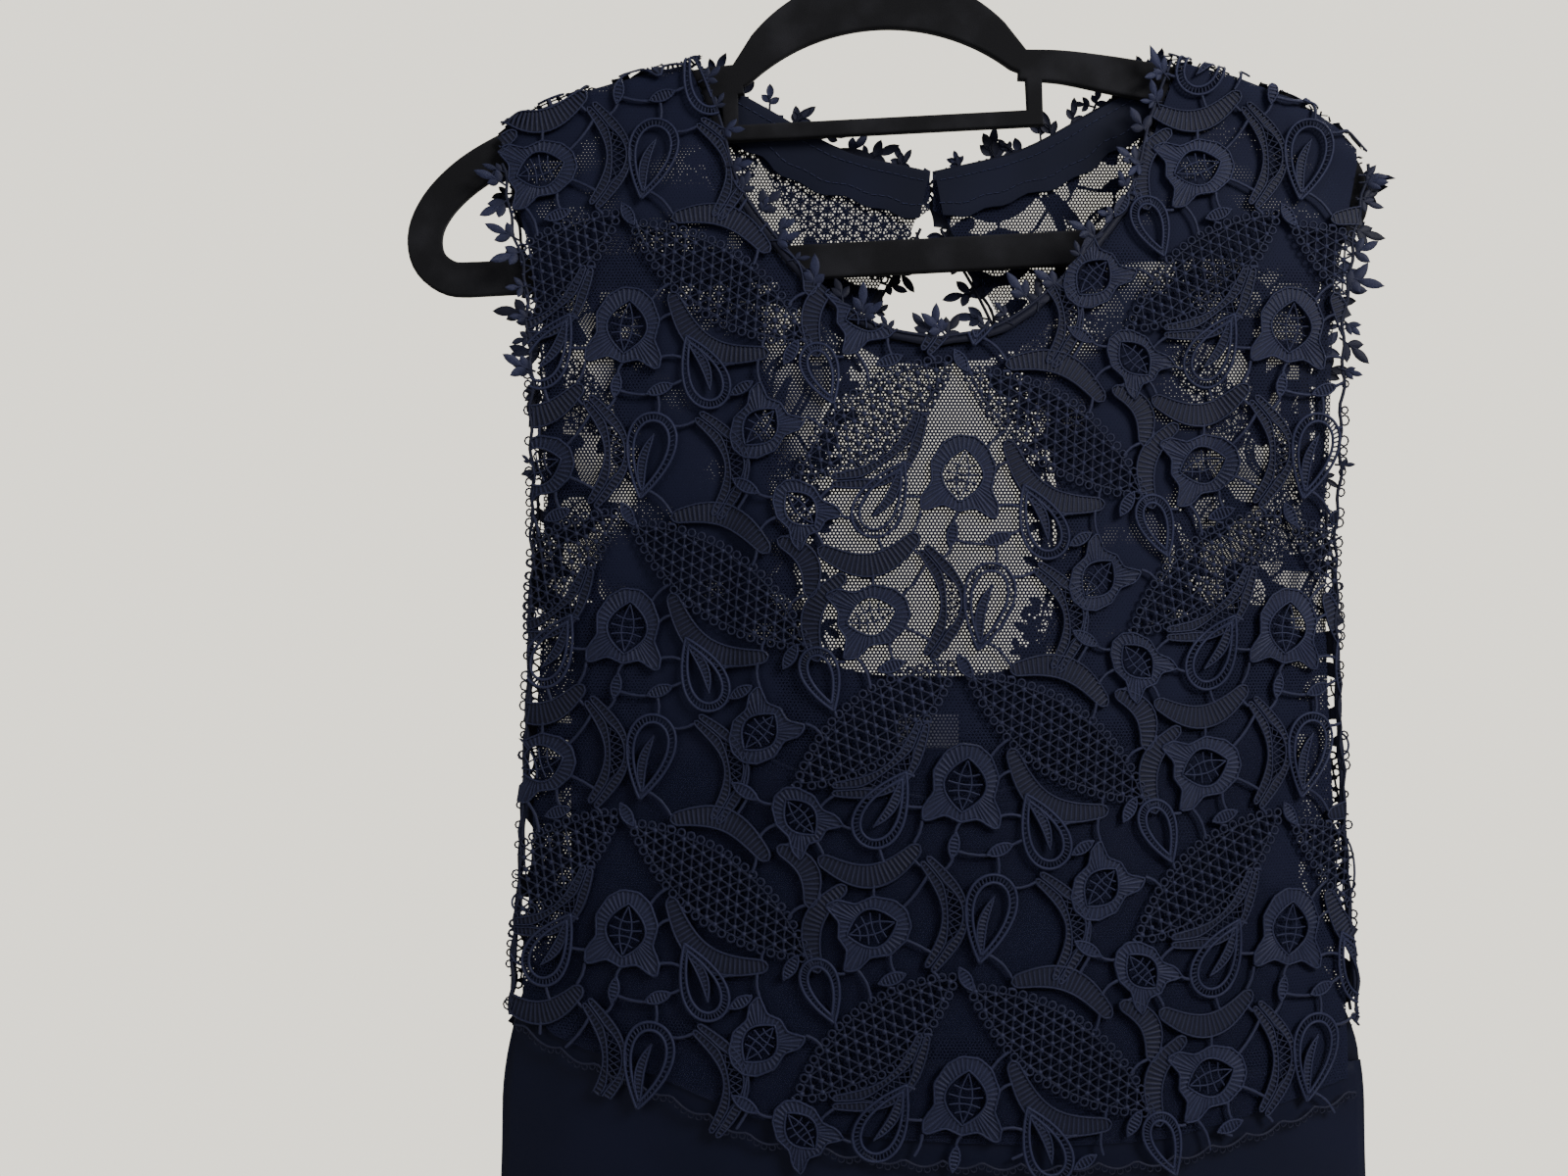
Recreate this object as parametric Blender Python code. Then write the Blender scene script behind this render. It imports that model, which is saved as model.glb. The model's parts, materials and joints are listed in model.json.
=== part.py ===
"""Sleeveless evening gown in heavy openwork lace, hanging on a slim flocked hanger.

Metres, +Z up, +X to the right as seen from the front, the front faces -Y.
The origin is the hanging point: the inside of the top of the hanger's hook.

Every piece of cloth is first drawn flat, as (x, z) seen from the front, and then laid on the front
or back surface of the hanging gown, at its own distance from it.
"""
import math

import bmesh
import bpy
import numpy as np
from mathutils import Vector
from mathutils.geometry import delaunay_2d_cdt

MM = 0.001
FRONT, BACK = -1, 1

# ---------------------------------------------------------------- driving dimensions
FACET = 31 * MM                 # between points inside a cloth panel
SEAM_GAP = 0.3 * MM             # between pieces that are sewn edge to edge
MERGE = 0.05 * MM               # points of a flat drawing closer than this are one

# hanger
HANGER_THICK = 5 * MM
HANGER_TILT = math.radians(3.0)  # the right arm hangs higher
HOOK_DROP = 75 * MM             # hanging point to the top of the arch
ARCH_OUTER_R = 79 * MM
ARCH_INNER_R = 94 * MM
ARCH_BAND = 26 * MM
BAR_DROP = 132 * MM             # arch top to the middle of the trouser bar
BAR_HEIGHT = 16 * MM
TIE_BAR_DROP = 71 * MM
TIE_BAR_HEIGHT = 7.5 * MM
TIE_POST_X = 70.5 * MM
TIE_POST_WIDE = 7.3 * MM
ARCH_FOOT = ((68, 39.2), (72, 41.5), (70, 52.2))    # the arch's right foot, outside to inside: x, drop
ARCH_INNER_HALF = 60 * MM       # half width of the arch's inner curve
BAR_HALF = 195 * MM
HANGER_EDGE_R = 1.1 * MM
HOOK_INNER_R = 18 * MM
HOOK_WIRE = 3.6 * MM
SHANK = ((0, 56 * MM), (1.5 * MM, 49 * MM), (8 * MM, 41 * MM), (15.5 * MM, 32 * MM))    # x, below the origin

# gown
GOWN_SHIFT = 31 * MM            # the gown has slid to the right on the hanger
NECK_HALF = 108 * MM            # half the neck's width at the shoulder
TIP_HALF = 199 * MM             # half the width over the shoulders
FRONT_NECK_Z = -247 * MM
BACK_NECK_Z = -164 * MM
ARMHOLE_FOOT_Z = -352 * MM
WAIST_Z = -556 * MM             # top edge of the skirt at the left
WAIST_SLOPE = 0.055             # it lies a little lower on the right
LACE_LOW_HALF = 195 * MM        # the lace is no wider than this at its lower edge
HEM_Z = -1580 * MM
KEYHOLE_TOP_Z = -182 * MM
KEYHOLE_FOOT_Z = -402 * MM
SLIT_WIDTH = 1.6 * MM
SLIT_TOP_Z = BACK_NECK_Z + 8 * MM
LABEL_SIZE = (29 * MM, 16 * MM)
LABEL_Z = -428 * MM             # middle of the label
LABEL_THICK = 0.8 * MM
BUTTON_AT = (5 * MM, BACK_NECK_Z - 8 * MM)
BUTTON_R = 4.5 * MM
BUTTON_TALL = 3.5 * MM
LOOP_CORD_R = 0.7 * MM
LOOP_SPREAD = 1.4 * MM          # between the loop's two ends, half
LOOP_REACH = 16 * MM            # button to the loop's ends

# cloth: distances are from the lace's inner face, outwards; *_SLACK opens below the shoulder
LACE_THICK = 1.2 * MM
CLOTH_THICK = 1.0 * MM
LAYER_GAP = 0.3 * MM
LAYER_SLACK = 0.85 * MM
FOLD_R = 0.5 * HANGER_THICK + 4 * LAYER_GAP + 2.3 * CLOTH_THICK
ARM_REST = 4.4 * MM             # lace's inner face above the arm's top edge
LENS_POWER = 2.6                # shape of the section between the side seams
LOW_EDGE_IN = 8.5 * MM          # the lining and skirt end so far inside the side seam's line
NET_INSET = 4.5 * MM            # the net ends so far inside the lace's edge
KEYHOLE_NET_INSET = 4 * MM
NET_PAST_HEM = 7 * MM           # the net ends so far above the lace's scalloped edge
FACING_INSET = 2.5 * MM         # neck facings: from the lace's edge
FRONT_FACING_WIDE = 10 * MM
BACK_FACING_WIDE = 16 * MM
BINDING_INSET = 5.5 * MM        # armhole bindings: from the lace's edge
BINDING_WIDE = 5 * MM
BINDING_TOP = 22 * MM           # from the shoulder seam down to a binding's upper end
BINDING_FOOT = 16 * MM          # from a binding's lower end down to the armhole's foot
LINING_NARROW_Z = -500 * MM     # the lining widens below this
SHOULDER_STEP = 12 * MM         # between points along the shoulders
BEND_CLEAR = 4 * MM             # from the shoulder's bend to the first point of an edge

# height, half width of the body, front depth, back depth, depth at the edge
BODY = [dict(zip(("z", "half", "front", "back", "edge"), row)) for row in (
    (-100, 200, 5.4, 5.4, 5.4),
    (-150, 198, 10, 9, 6.4),
    (-205, 190, 16, 13, 12),
    (-250, 186, 22, 17, 16),
    (-310, 186, 31, 24, 12),
    (-338, 186, 34, 27, 0.15),
    (-405, 187.5, 36, 29, 0.15),
    (-464, 190.5, 37, 30, 0.15),
    (-503, 192, 38, 31, 0.15),
    (-541, 196, 39, 32, 0.15),
    (-570, 208, 41, 33, 0.15),
    (-640, 209, 44, 36, 0.15),
    (-800, 222, 50, 41, 0.15),
    (-1100, 252, 61, 50, 0.15),
    (-1580, 300, 76, 62, 0.15),
)]

# troughs (depth > 0) and ridges (depth < 0) of the hanging cloth, in mm from the gown's middle
FOLDS = [dict(zip(("face", "x_top", "x_foot", "z_top", "z_foot", "wide", "depth"), row)) for row in (
    (FRONT, -112, -116, -215, -560, 44, 6.0),
    (FRONT, 104, 98, -205, -520, 44, 5.5),
    (FRONT, -20, -8, -330, -610, 60, -3.0),
    (BACK, -120, -110, -260, -600, 42, 5.0),
    (BACK, 112, 104, -260, -600, 42, 5.0),
    (FRONT, -120, -205, -640, -1700, 46, 13),
    (FRONT, -42, -82, -700, -1700, 42, 11),
    (FRONT, 36, 48, -660, -1700, 44, 13),
    (FRONT, 112, 178, -690, -1700, 46, 12),
    (BACK, -112, -186, -660, -1700, 46, 11),
    (BACK, -30, -62, -690, -1700, 44, 12),
    (BACK, 50, 70, -650, -1700, 44, 11),
    (BACK, 124, 198, -700, -1700, 46, 12),
)]

# hanger arm and end loop, right half: middle line and breadth, drop from the arch's top
ARM = [dict(zip(("x", "drop", "wide"), row)) for row in (
    (64, 46, 14), (84, 48, 15), (107, 53, 17), (132, 59, 17.5), (160, 68, 17.5),
    (186, 79.5, 17), (202, 91, 16.5), (211.5, 103, 16), (214.5, 114, 16), (212, 124, 16), (203, 131, 16),
    (190, 132, 16),
)]

# right half of the edges of the lace, from the gown's middle
FRONT_NECK = ((NECK_HALF, -118 * MM), (98 * MM, -145 * MM), (89 * MM, -176 * MM), (71 * MM, -202 * MM),
              (51 * MM, -224 * MM), (27 * MM, -241 * MM), (0, FRONT_NECK_Z))
BACK_NECK = ((NECK_HALF, -118 * MM), (78 * MM, -135 * MM), (42 * MM, -154 * MM), (SLIT_WIDTH, BACK_NECK_Z))
ARMHOLE = ((TIP_HALF, -165 * MM), (194 * MM, -190 * MM), (188 * MM, -215 * MM), (184.5 * MM, -250 * MM),
           (184 * MM, -300 * MM), (185.5 * MM, ARMHOLE_FOOT_Z))
KEYHOLE = ((SLIT_WIDTH, KEYHOLE_TOP_Z), (8 * MM, -197 * MM), (24 * MM, -224 * MM), (42 * MM, -262 * MM),
           (55 * MM, -302 * MM), (59 * MM, -338 * MM), (55 * MM, -372 * MM), (42 * MM, -397 * MM),
           (20 * MM, -403 * MM), (0, -404 * MM))
# right half of the lining's top edges, armhole to middle, in mm
FRONT_LINING_TOP = ((168, -404), (110, -420), (60, -442), (0, -453))
BACK_LINING_TOP = ((168, -366), (110, -376), (62, -392), (30, -401), (0, -403))
# lower edge of the lace, left to right
LACE_HEM = ((-196, -556), (-172, -567), (-126, -581), (-83, -599), (-20, -608), (50, -611), (98, -610),
            (145, -600), (192, -588))
SCALLOP = 34 * MM
SCALLOP_DEPTH = 3 * MM

# ---------------------------------------------------------------- lace repeat, in mm
REPEAT_W, REPEAT_H = 150, 136   # each column of repeats is half a repeat lower or higher than the next
NET_LEAVES = [dict(zip(("u", "v", "long", "wide", "turn"), row)) for row in (
    (44, 98, 100, 34, -35), (113, 36, 90, 32, 38))]
BELLS = [dict(zip(("u", "v", "long", "wide", "turn"), row)) for row in (
    (2, 79, 35, 34, -97), (-38, 16, 33, 31, 196), (62, 32, 30, 28, 50), (-70, 64, 28, 25, -50))]
LOOPS = [dict(zip(("u", "v", "long", "wide", "turn"), row)) for row in (
    (-33, 68, 38, 23, 240), (36, 58, 36, 22, -66), (12, 20, 40, 24, 78), (90, 56, 30, 18, 110))]
SCROLLS = [dict(zip(("u0", "v0", "u1", "v1", "rise", "wide"), row)) for row in (
    (-16, 106, -56, 76, .22, 12), (22, 94, 66, 66, -.24, 11), (-62, 46, -18, 52, -.24, 11),
    (-16, 46, -14, -2, .26, 12), (34, 38, 42, -8, .30, 12), (-62, -4, -50, 34, .22, 9.5),
    (22, -8, 66, -24, .20, 11), (84, 92, 70, 118, -.25, 10))]
PODS = [dict(zip(("u", "v", "long", "wide", "turn"), row)) for row in (
    (17, 50, 13, 6, 20), (-3, 52, 12, 5.5, 80), (2, -6, 12, 6, -60), (56, 6, 14, 6, -30),
    (76, 66, 13, 6, 60), (-30, -6, 13, 6, 20), (54, 50, 12, 5.5, 30))]
LOOP_CORD = 4.5                 # breadth of a loop's double cord
BELL_PROFILE = ((0, .12), (.12, .30), (.38, .44), (.66, .40), (.86, .52), (1.06, .50), (.93, .22), (1, 0))
BRIDE_WIDE = 1.5                # thin bars that tie the motifs
BRIDE_REACH = 20
BRIDE_APART = 10
GAPS_PER_REPEAT = 14            # the largest gaps of each repeat are cut through
GAP_SIMPLER = 3.0               # how far a gap's outline may be simplified
GAP_MARGIN = 3.5                # solid lace between a gap and the panel's edge
LACE_PHASE = {FRONT: (8, 20), BACK: (70, 52)}   # where the repeat lies on each panel

# leaves along the free edges of the lace
SPRIG_STEP = 25 * MM
SPRIG_SHAPE = ((-4.5, -2), (-4.5, 5.5), (-0.5, 1.5), (4.5, 7), (4, -2))  # two leaf tips, in mm


# ---------------------------------------------------------------- small helpers
def through(points, step):
    """Points about one step apart on a smooth curve through the given ones."""
    pts = [Vector(p) for p in points]
    pts = [2 * pts[0] - pts[1]] + pts + [2 * pts[-1] - pts[-2]]
    line = []
    for a, b, c, d in zip(pts, pts[1:], pts[2:], pts[3:]):
        count = max(1, math.ceil((c - b).length / step))
        for i in range(count):
            t = i / count
            line.append(0.5 * (2 * b + (c - a) * t + (2 * a - 5 * b + 4 * c - d) * t ** 2
                               + (3 * b - a - 3 * c + d) * t ** 3))
    return [tuple(p) for p in line + [pts[-2]]]


def mirrored(half):
    """The outline's right half, then its left half backwards."""
    return list(half) + [(-x, z) for x, z in reversed(half) if x > MM]


def ease(t):
    t = min(1.0, max(0.0, t))
    return t * t * (3 - 2 * t)


def body(key, z):
    """A column of BODY at height z, softened over the rows."""
    heights = [row["z"] * MM for row in reversed(BODY)]
    values = [row[key] * MM for row in reversed(BODY)]
    return float(np.mean(np.interp(z + np.linspace(-24, 24, 7) * MM, heights, values)))


def strip(line, widths):
    """The outline of a band of varying breadth along a line."""
    left, right = [], []
    for i, (u, v) in enumerate(line):
        a, b = line[max(i - 1, 0)], line[min(i + 1, len(line) - 1)]
        du, dv = b[0] - a[0], b[1] - a[1]
        k = 0.5 * widths[i] / math.hypot(du, dv)
        left.append((u - dv * k, v + du * k))
        right.append((u + dv * k, v - du * k))
    return left + right[::-1]


def placed(points, u, v, turn):
    c, s = math.cos(math.radians(turn)), math.sin(math.radians(turn))
    return [(u + c * a - s * b, v + s * a + c * b) for a, b in points]


def inside(point, outline):
    x, y = point
    hit = False
    for (ax, ay), (bx, by) in zip(outline, outline[1:] + outline[:1]):
        if (ay > y) != (by > y) and x < ax + (bx - ax) * (y - ay) / (by - ay):
            hit = not hit
    return hit


def clearance(first, second):
    """The least distance between two outlines that don't cross."""
    return min(distance(first, second), distance(second, first))


def distance(points, outline):
    """The least distance from any of the points to the outline."""
    p = np.array(points)[:, None, :]
    a = np.array(outline)[None, :, :]
    b = np.roll(a, -1, axis=1)
    t = np.clip(((p - a) * (b - a)).sum(2) / ((b - a) ** 2).sum(2), 0, 1)
    near = a + (b - a) * t[..., None]
    return float(np.hypot(*(p - near).transpose(2, 0, 1)).min())


def area(loop):
    return 0.5 * sum(a[0] * b[1] - a[1] * b[0] for a, b in zip(loop, loop[1:] + loop[:1]))


def turning_left(loop):
    """The outline's points counter-clockwise."""
    return loop if area(loop) > 0 else loop[::-1]


def material(name, colour, roughness, metallic=0.0):
    mat = bpy.data.materials.new(name)
    mat.use_nodes = True
    shader = mat.node_tree.nodes["Principled BSDF"]
    shader.inputs["Base Color"].default_value = (*colour, 1)
    shader.inputs["Roughness"].default_value = roughness
    shader.inputs["Metallic"].default_value = metallic
    return mat


def add_object(name, verts, faces, mat):
    mesh = bpy.data.meshes.new(name)
    mesh.from_pydata(verts, [], faces)
    mesh.materials.append(mat)
    mesh.validate()
    bm = bmesh.new()
    bm.from_mesh(mesh)
    bmesh.ops.recalc_face_normals(bm, faces=bm.faces)
    bm.to_mesh(mesh)
    bm.free()
    mesh.shade_smooth()
    mesh.set_sharp_from_angle(angle=math.radians(50))
    obj = bpy.data.objects.new(name, mesh)
    bpy.context.scene.collection.objects.link(obj)
    return obj


# ---------------------------------------------------------------- the hanging surfaces
def arm_top_line():
    """The top edge of both hanger arms, hung and tilted, from left to right."""
    half = strip([(row["x"] * MM, -row["drop"] * MM - HOOK_DROP) for row in ARM],
                 [row["wide"] * MM for row in ARM])[:9]
    both = [(-x, z) for x, z in reversed(half)] + half
    c, s = math.cos(HANGER_TILT), math.sin(HANGER_TILT)
    return [(x * c - z * s, x * s + z * c) for x, z in both]


ARM_TOP = np.array(arm_top_line())
ARM_TOP_X = np.linspace(ARM_TOP[0, 0], ARM_TOP[-1, 0], 300)
ARM_TOP_Z = np.interp(ARM_TOP_X, ARM_TOP[:, 0], ARM_TOP[:, 1])
CLEAR_OF_ARM_X = 221 * MM       # past this the cloth falls free of the arm's end
FREE_SLOPE = 1.1


def over_arm(x):
    """The arm's top edge, moved out by the cloth's rest all round."""
    across = np.abs(ARM_TOP_X - max(x, ARM_TOP_X[0]))
    reach = across < ARM_REST
    return float(np.max(ARM_TOP_Z[reach] + np.sqrt(ARM_REST ** 2 - across[reach] ** 2)))


def shoulder_z(x):
    """Height of the lace's inner face where it goes over the arm."""
    if x < CLEAR_OF_ARM_X:
        return over_arm(x)
    return over_arm(CLEAR_OF_ARM_X) - FREE_SLOPE * (x - CLEAR_OF_ARM_X)


def seam_z(x):
    """The shoulder seam as it lies in the flat drawing."""
    return shoulder_z(x) + (math.pi / 2 - 1) * FOLD_R


def fold_depth(face, x, z):
    total = 0.0
    for row in FOLDS:
        top, foot = row["z_top"] * MM, row["z_foot"] * MM
        if row["face"] != face or not foot < z < top:
            continue
        t = (top - z) / (top - foot)
        middle = (row["x_top"] + (row["x_foot"] - row["x_top"]) * t) * MM
        fade = ease((top - z) / (120 * MM)) * ease((z - foot) / (110 * MM))
        total += row["depth"] * MM * fade * math.exp(-((x - middle) / (row["wide"] * MM)) ** 2)
    return total


def surface(face, x, z):
    """A point of the gown's front or back, from its place (x, z) in the flat drawing."""
    world_x = x + GOWN_SHIFT
    top = shoulder_z(world_x)
    run = top + (math.pi / 2 - 1) * FOLD_R - z
    if run < FOLD_R * math.pi / 2:
        turn = max(run / FOLD_R, 0.5 * SEAM_GAP / FOLD_R)
        return Vector((world_x, face * FOLD_R * math.sin(turn), top - FOLD_R * (1 - math.cos(turn))))
    u = min(1.0, abs(x) / body("half", z))
    edge = body("edge", z)
    middle = body("front" if face == FRONT else "back", z)
    rise = 1 - u ** LENS_POWER
    depth = edge + (middle - edge) * rise - fold_depth(face, x, z) * ease(3 * (1 - u))
    settle = ease((run - FOLD_R * math.pi / 2) / (60 * MM))
    return Vector((world_x, face * (FOLD_R + (depth - FOLD_R) * settle), z))


def normal(face, x, z):
    step = 1 * MM
    across = surface(face, x + step, z) - surface(face, x - step, z)
    down = surface(face, x, z - step) - surface(face, x, z + step)
    n = across.cross(down)
    return (n if n.y * face > 0 or abs(n.y) < 1e-9 and n.z > 0 else -n).normalized()


def layer(count, x, z):
    """How far inside the lace the outer face of an inner layer lies: 1 is the net, 2 the lining."""
    opened = ease((seam_z(x + GOWN_SHIFT) - z - 12 * MM) / (30 * MM))
    return -count * (LAYER_GAP + LAYER_SLACK * opened) - (count - 1) * CLOTH_THICK


# ---------------------------------------------------------------- flat drawing to cloth wall
def flat_shape(adds, cuts=(), lines=(), points=(), overs=()):
    """Triangles of the added outlines without the cuts, and of what lies over the cuts."""
    verts, edges, faces = [], [], []
    for outline in [*adds, *cuts, *overs]:
        faces.append(list(range(len(verts), len(verts) + len(outline))))
        verts += [Vector(p) for p in turning_left(outline)]
    for line in lines:
        edges += [(len(verts) + i, len(verts) + i + 1) for i in range(len(line) - 1)]
        verts += [Vector(p) for p in line]
    verts += [Vector(p) for p in points]
    co, _, tris, _, _, source = delaunay_2d_cdt(verts, edges, faces, 0, MERGE)
    first_cut, first_over = len(adds), len(adds) + len(cuts)
    solid = []
    for tri, owners in zip(tris, source):
        over = any(i >= first_over for i in owners)
        cut = any(first_cut <= i < first_over for i in owners)
        if over or owners and not cut:
            solid.append(tri)
    used = sorted({i for tri in solid for i in tri})
    new = {old: i for i, old in enumerate(used)}
    return [tuple(co[i]) for i in used], [[new[i] for i in tri] for tri in solid]


def open_edges(tris):
    """The edges that only one triangle has, in that triangle's direction."""
    seen = {(a, b) for t in tris for a, b in ((t[0], t[1]), (t[1], t[2]), (t[2], t[0]))}
    return [(a, b) for a, b in seen if (b, a) not in seen]


def loops_of(tris, co):
    """The boundary lines of a flat patch of triangles."""
    onward = dict(open_edges(tris))
    loops = []
    while onward:
        first, here = onward.popitem()
        loop = [first]
        while here != first and here in onward:
            loop.append(here)
            here = onward.pop(here)
        loops.append([tuple(co[i]) for i in loop])
    return loops


def wall(name, face, shape, near, far, mat):
    """A cloth wall on the front or back surface, between two distances from it."""
    flat, tris = shape
    inner, outer = [], []
    for x, z in flat:
        point, out = surface(face, x, z), normal(face, x, z)
        inner.append(point + out * near(x, z))
        outer.append(point + out * far(x, z))
    n = len(flat)
    faces = [[a, b, c] for a, b, c in tris] + [[c + n, b + n, a + n] for a, b, c in tris]
    for a, b in open_edges(tris):
        faces += [[b, a, a + n], [b, a + n, b + n]]
    corners = {}
    for a, b in open_edges(tris):
        corners[a] = corners.get(a, 0) + 1
    pinched = [flat[i] for i, k in corners.items() if k > 1]
    if pinched:
        print(name, "is pinched at", pinched)
    return add_object(name, inner + outer, faces, mat)


def cloth(name, face, shape, count, mat, thick=CLOTH_THICK):
    """An inner layer of cloth: 1 is the net, 2 the lining."""
    return wall(name, face, shape, lambda x, z: layer(count, x, z) - thick,
                lambda x, z: layer(count, x, z), mat)


def grid_points(outline, step, clear, cuts=()):
    """Staggered points that fill an outline, clear of its edge and of the cuts."""
    xs, zs = zip(*outline)
    rise = 0.87 * step
    points = []
    for row in range(math.floor(min(zs) / rise), math.ceil(max(zs) / rise) + 1):
        for col in range(math.floor(min(xs) / step) - 1, math.ceil(max(xs) / step) + 1):
            p = ((col + 0.5 * (row % 2)) * step, row * rise)
            if inside(p, outline) and distance([p], outline) > clear and not any(
                    inside(p, cut) or distance([p], cut) < clear for cut in cuts):
                points.append(p)
    return points


def stations(low, high, step):
    """Two ends and fixed places between them, so that all layers bend at the same places."""
    room = 0.35 * step
    first, last = math.ceil((low + room) / step), math.floor((high - room) / step)
    return [low] + [i * step for i in range(first, last + 1)] + [high]


# ---------------------------------------------------------------- the lace repeat
def spindle(long, wide, steps):
    """A leaf with a point at each end."""
    top = [(long * (i / steps - 0.5), 0.5 * wide * math.sin(math.pi * i / steps) ** 0.8)
           for i in range(steps + 1)]
    return top + [(a, -b) for a, b in reversed(top[1:-1])]


def bell(long, wide):
    top = [(long * (a - 0.5), wide * b) for a, b in BELL_PROFILE]
    return top + [(a, -b) for a, b in reversed(top[:-1])]


def teardrop(long, wide, steps):
    turns = [2 * math.pi * i / steps for i in range(steps)]
    return [(-0.5 * long * math.cos(t), 0.625 * wide * math.sin(t) * math.sin(t / 2)) for t in turns]


def arc(u0, v0, u1, v1, rise, steps):
    line = []
    for i in range(steps + 1):
        t = i / steps
        lift = rise * math.sin(math.pi * t)
        line.append((u0 + (u1 - u0) * t - (v1 - v0) * lift, v0 + (v1 - v0) * t + (u1 - u0) * lift))
    return line


def motifs():
    """(outline, hole or None) of each motif of one repeat."""
    found = []
    for m in NET_LEAVES:
        found.append((placed(spindle(m["long"], m["wide"], 7), m["u"], m["v"], m["turn"]), None))
    for m in BELLS:
        found.append((placed(bell(m["long"], m["wide"]), m["u"], m["v"], m["turn"]), None))
    for m in LOOPS:
        hole = teardrop(m["long"] - 2 * LOOP_CORD, m["wide"] - 1.9 * LOOP_CORD, 8)
        found.append((placed(teardrop(m["long"], m["wide"], 12), m["u"], m["v"], m["turn"]),
                      placed(hole, m["u"], m["v"], m["turn"])))
    for m in SCROLLS:
        line = arc(m["u0"], m["v0"], m["u1"], m["v1"], m["rise"], 7)
        widths = [m["wide"] * (0.55 + 0.45 * math.sin(math.pi * i / 7)) for i in range(8)]
        found.append((strip(line, widths), None))
    for m in PODS:
        found.append((placed(spindle(m["long"], m["wide"], 3), m["u"], m["v"], m["turn"]), None))
    return found


NEIGHBOURS = ((0, 0), (1, .5), (1, -.5), (-1, .5), (-1, -.5), (0, 1), (0, -1), (1, 1.5), (-1, 1.5))
SHIFTS = [(i * REPEAT_W, j * REPEAT_H) for i, j in NEIGHBOURS]


def shifted(outline, shift):
    return [(u + shift[0], v + shift[1]) for u, v in outline]


def dense(outline, step):
    """The outline with extra points, about one step apart."""
    points = []
    for a, b in zip(outline, outline[1:] + outline[:1]):
        count = max(1, int(math.dist(a, b) / step))
        points += [(a[0] + (b[0] - a[0]) * i / count, a[1] + (b[1] - a[1]) * i / count) for i in range(count)]
    return points


def crosses(p, q, a, b):
    def side(o, d, r):
        return (d[0] - o[0]) * (r[1] - o[1]) - (d[1] - o[1]) * (r[0] - o[0])
    return side(p, q, a) * side(p, q, b) < 0 and side(a, b, p) * side(a, b, q) < 0


def bride_choices(outlines):
    """Short bars between neighbouring motifs, two at most for each pair, the shortest first."""
    fine = [dense(o, 2.5) for o in outlines]
    choices = []
    for i, first in enumerate(fine):
        for j in range(i, len(fine)):
            for shift in SHIFTS:
                if i == j and shift <= (0, 0):
                    continue
                pa, pb = np.array(first), np.array(shifted(fine[j], shift))
                gap = np.hypot(pa[:, None, 0] - pb[None, :, 0], pa[:, None, 1] - pb[None, :, 1])
                taken = []
                for k in np.argsort(gap, axis=None)[::3]:
                    a, b = divmod(int(k), gap.shape[1])
                    if gap[a, b] > BRIDE_REACH or len(taken) == 2:
                        break
                    middle = 0.5 * (pa[a] + pb[b])
                    if all(math.dist(middle, m) > 2.2 * BRIDE_APART for m in taken):
                        taken.append(middle)
                        choices.append((float(gap[a, b]), tuple(pa[a]), tuple(pb[b])))
    return sorted(choices)


def brides(outlines):
    """The bars that are sewn: none crosses a motif or lies close to another bar."""
    walls = [shifted(o, shift) for shift in SHIFTS for o in outlines]
    sides = [(a, b) for o in walls for a, b in zip(o, o[1:] + o[:1])]
    done = []
    for length, p, q in bride_choices(outlines):
        if length < 0.6:
            continue
        pull = 0.08
        inner_p = (p[0] + (q[0] - p[0]) * pull, p[1] + (q[1] - p[1]) * pull)
        inner_q = (q[0] + (p[0] - q[0]) * pull, q[1] + (p[1] - q[1]) * pull)
        middle = (0.5 * (p[0] + q[0]), 0.5 * (p[1] + q[1]))
        others = [shifted([a, b], shift) for a, b in done for shift in SHIFTS]
        middles = [(0.5 * (a[0] + b[0]), 0.5 * (a[1] + b[1])) for a, b in others]
        if any(crosses(p, q, a, b) for a, b in others) or any(math.dist(middle, m) < BRIDE_APART for m in middles):
            continue
        if not any(crosses(inner_p, inner_q, a, b) for a, b in sides):
            done.append((p, q))
    return done


def simpler(loop, tolerance):
    """The loop with only the points that its shape needs."""
    def reduce(points):
        a, b = np.array(points[0]), np.array(points[-1])
        along = (b - a) / max(math.dist(a, b), 1e-9)
        off = [abs(along[0] * (p[1] - a[1]) - along[1] * (p[0] - a[0])) for p in points]
        k = int(np.argmax(off))
        if off[k] < tolerance or len(points) < 3:
            return [points[0], points[-1]]
        return reduce(points[:k + 1])[:-1] + reduce(points[k:])
    far = max(range(len(loop)), key=lambda i: math.dist(loop[0], loop[i]))
    return reduce(loop[:far + 1])[:-1] + reduce(loop[far:] + loop[:1])[:-1]


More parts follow.
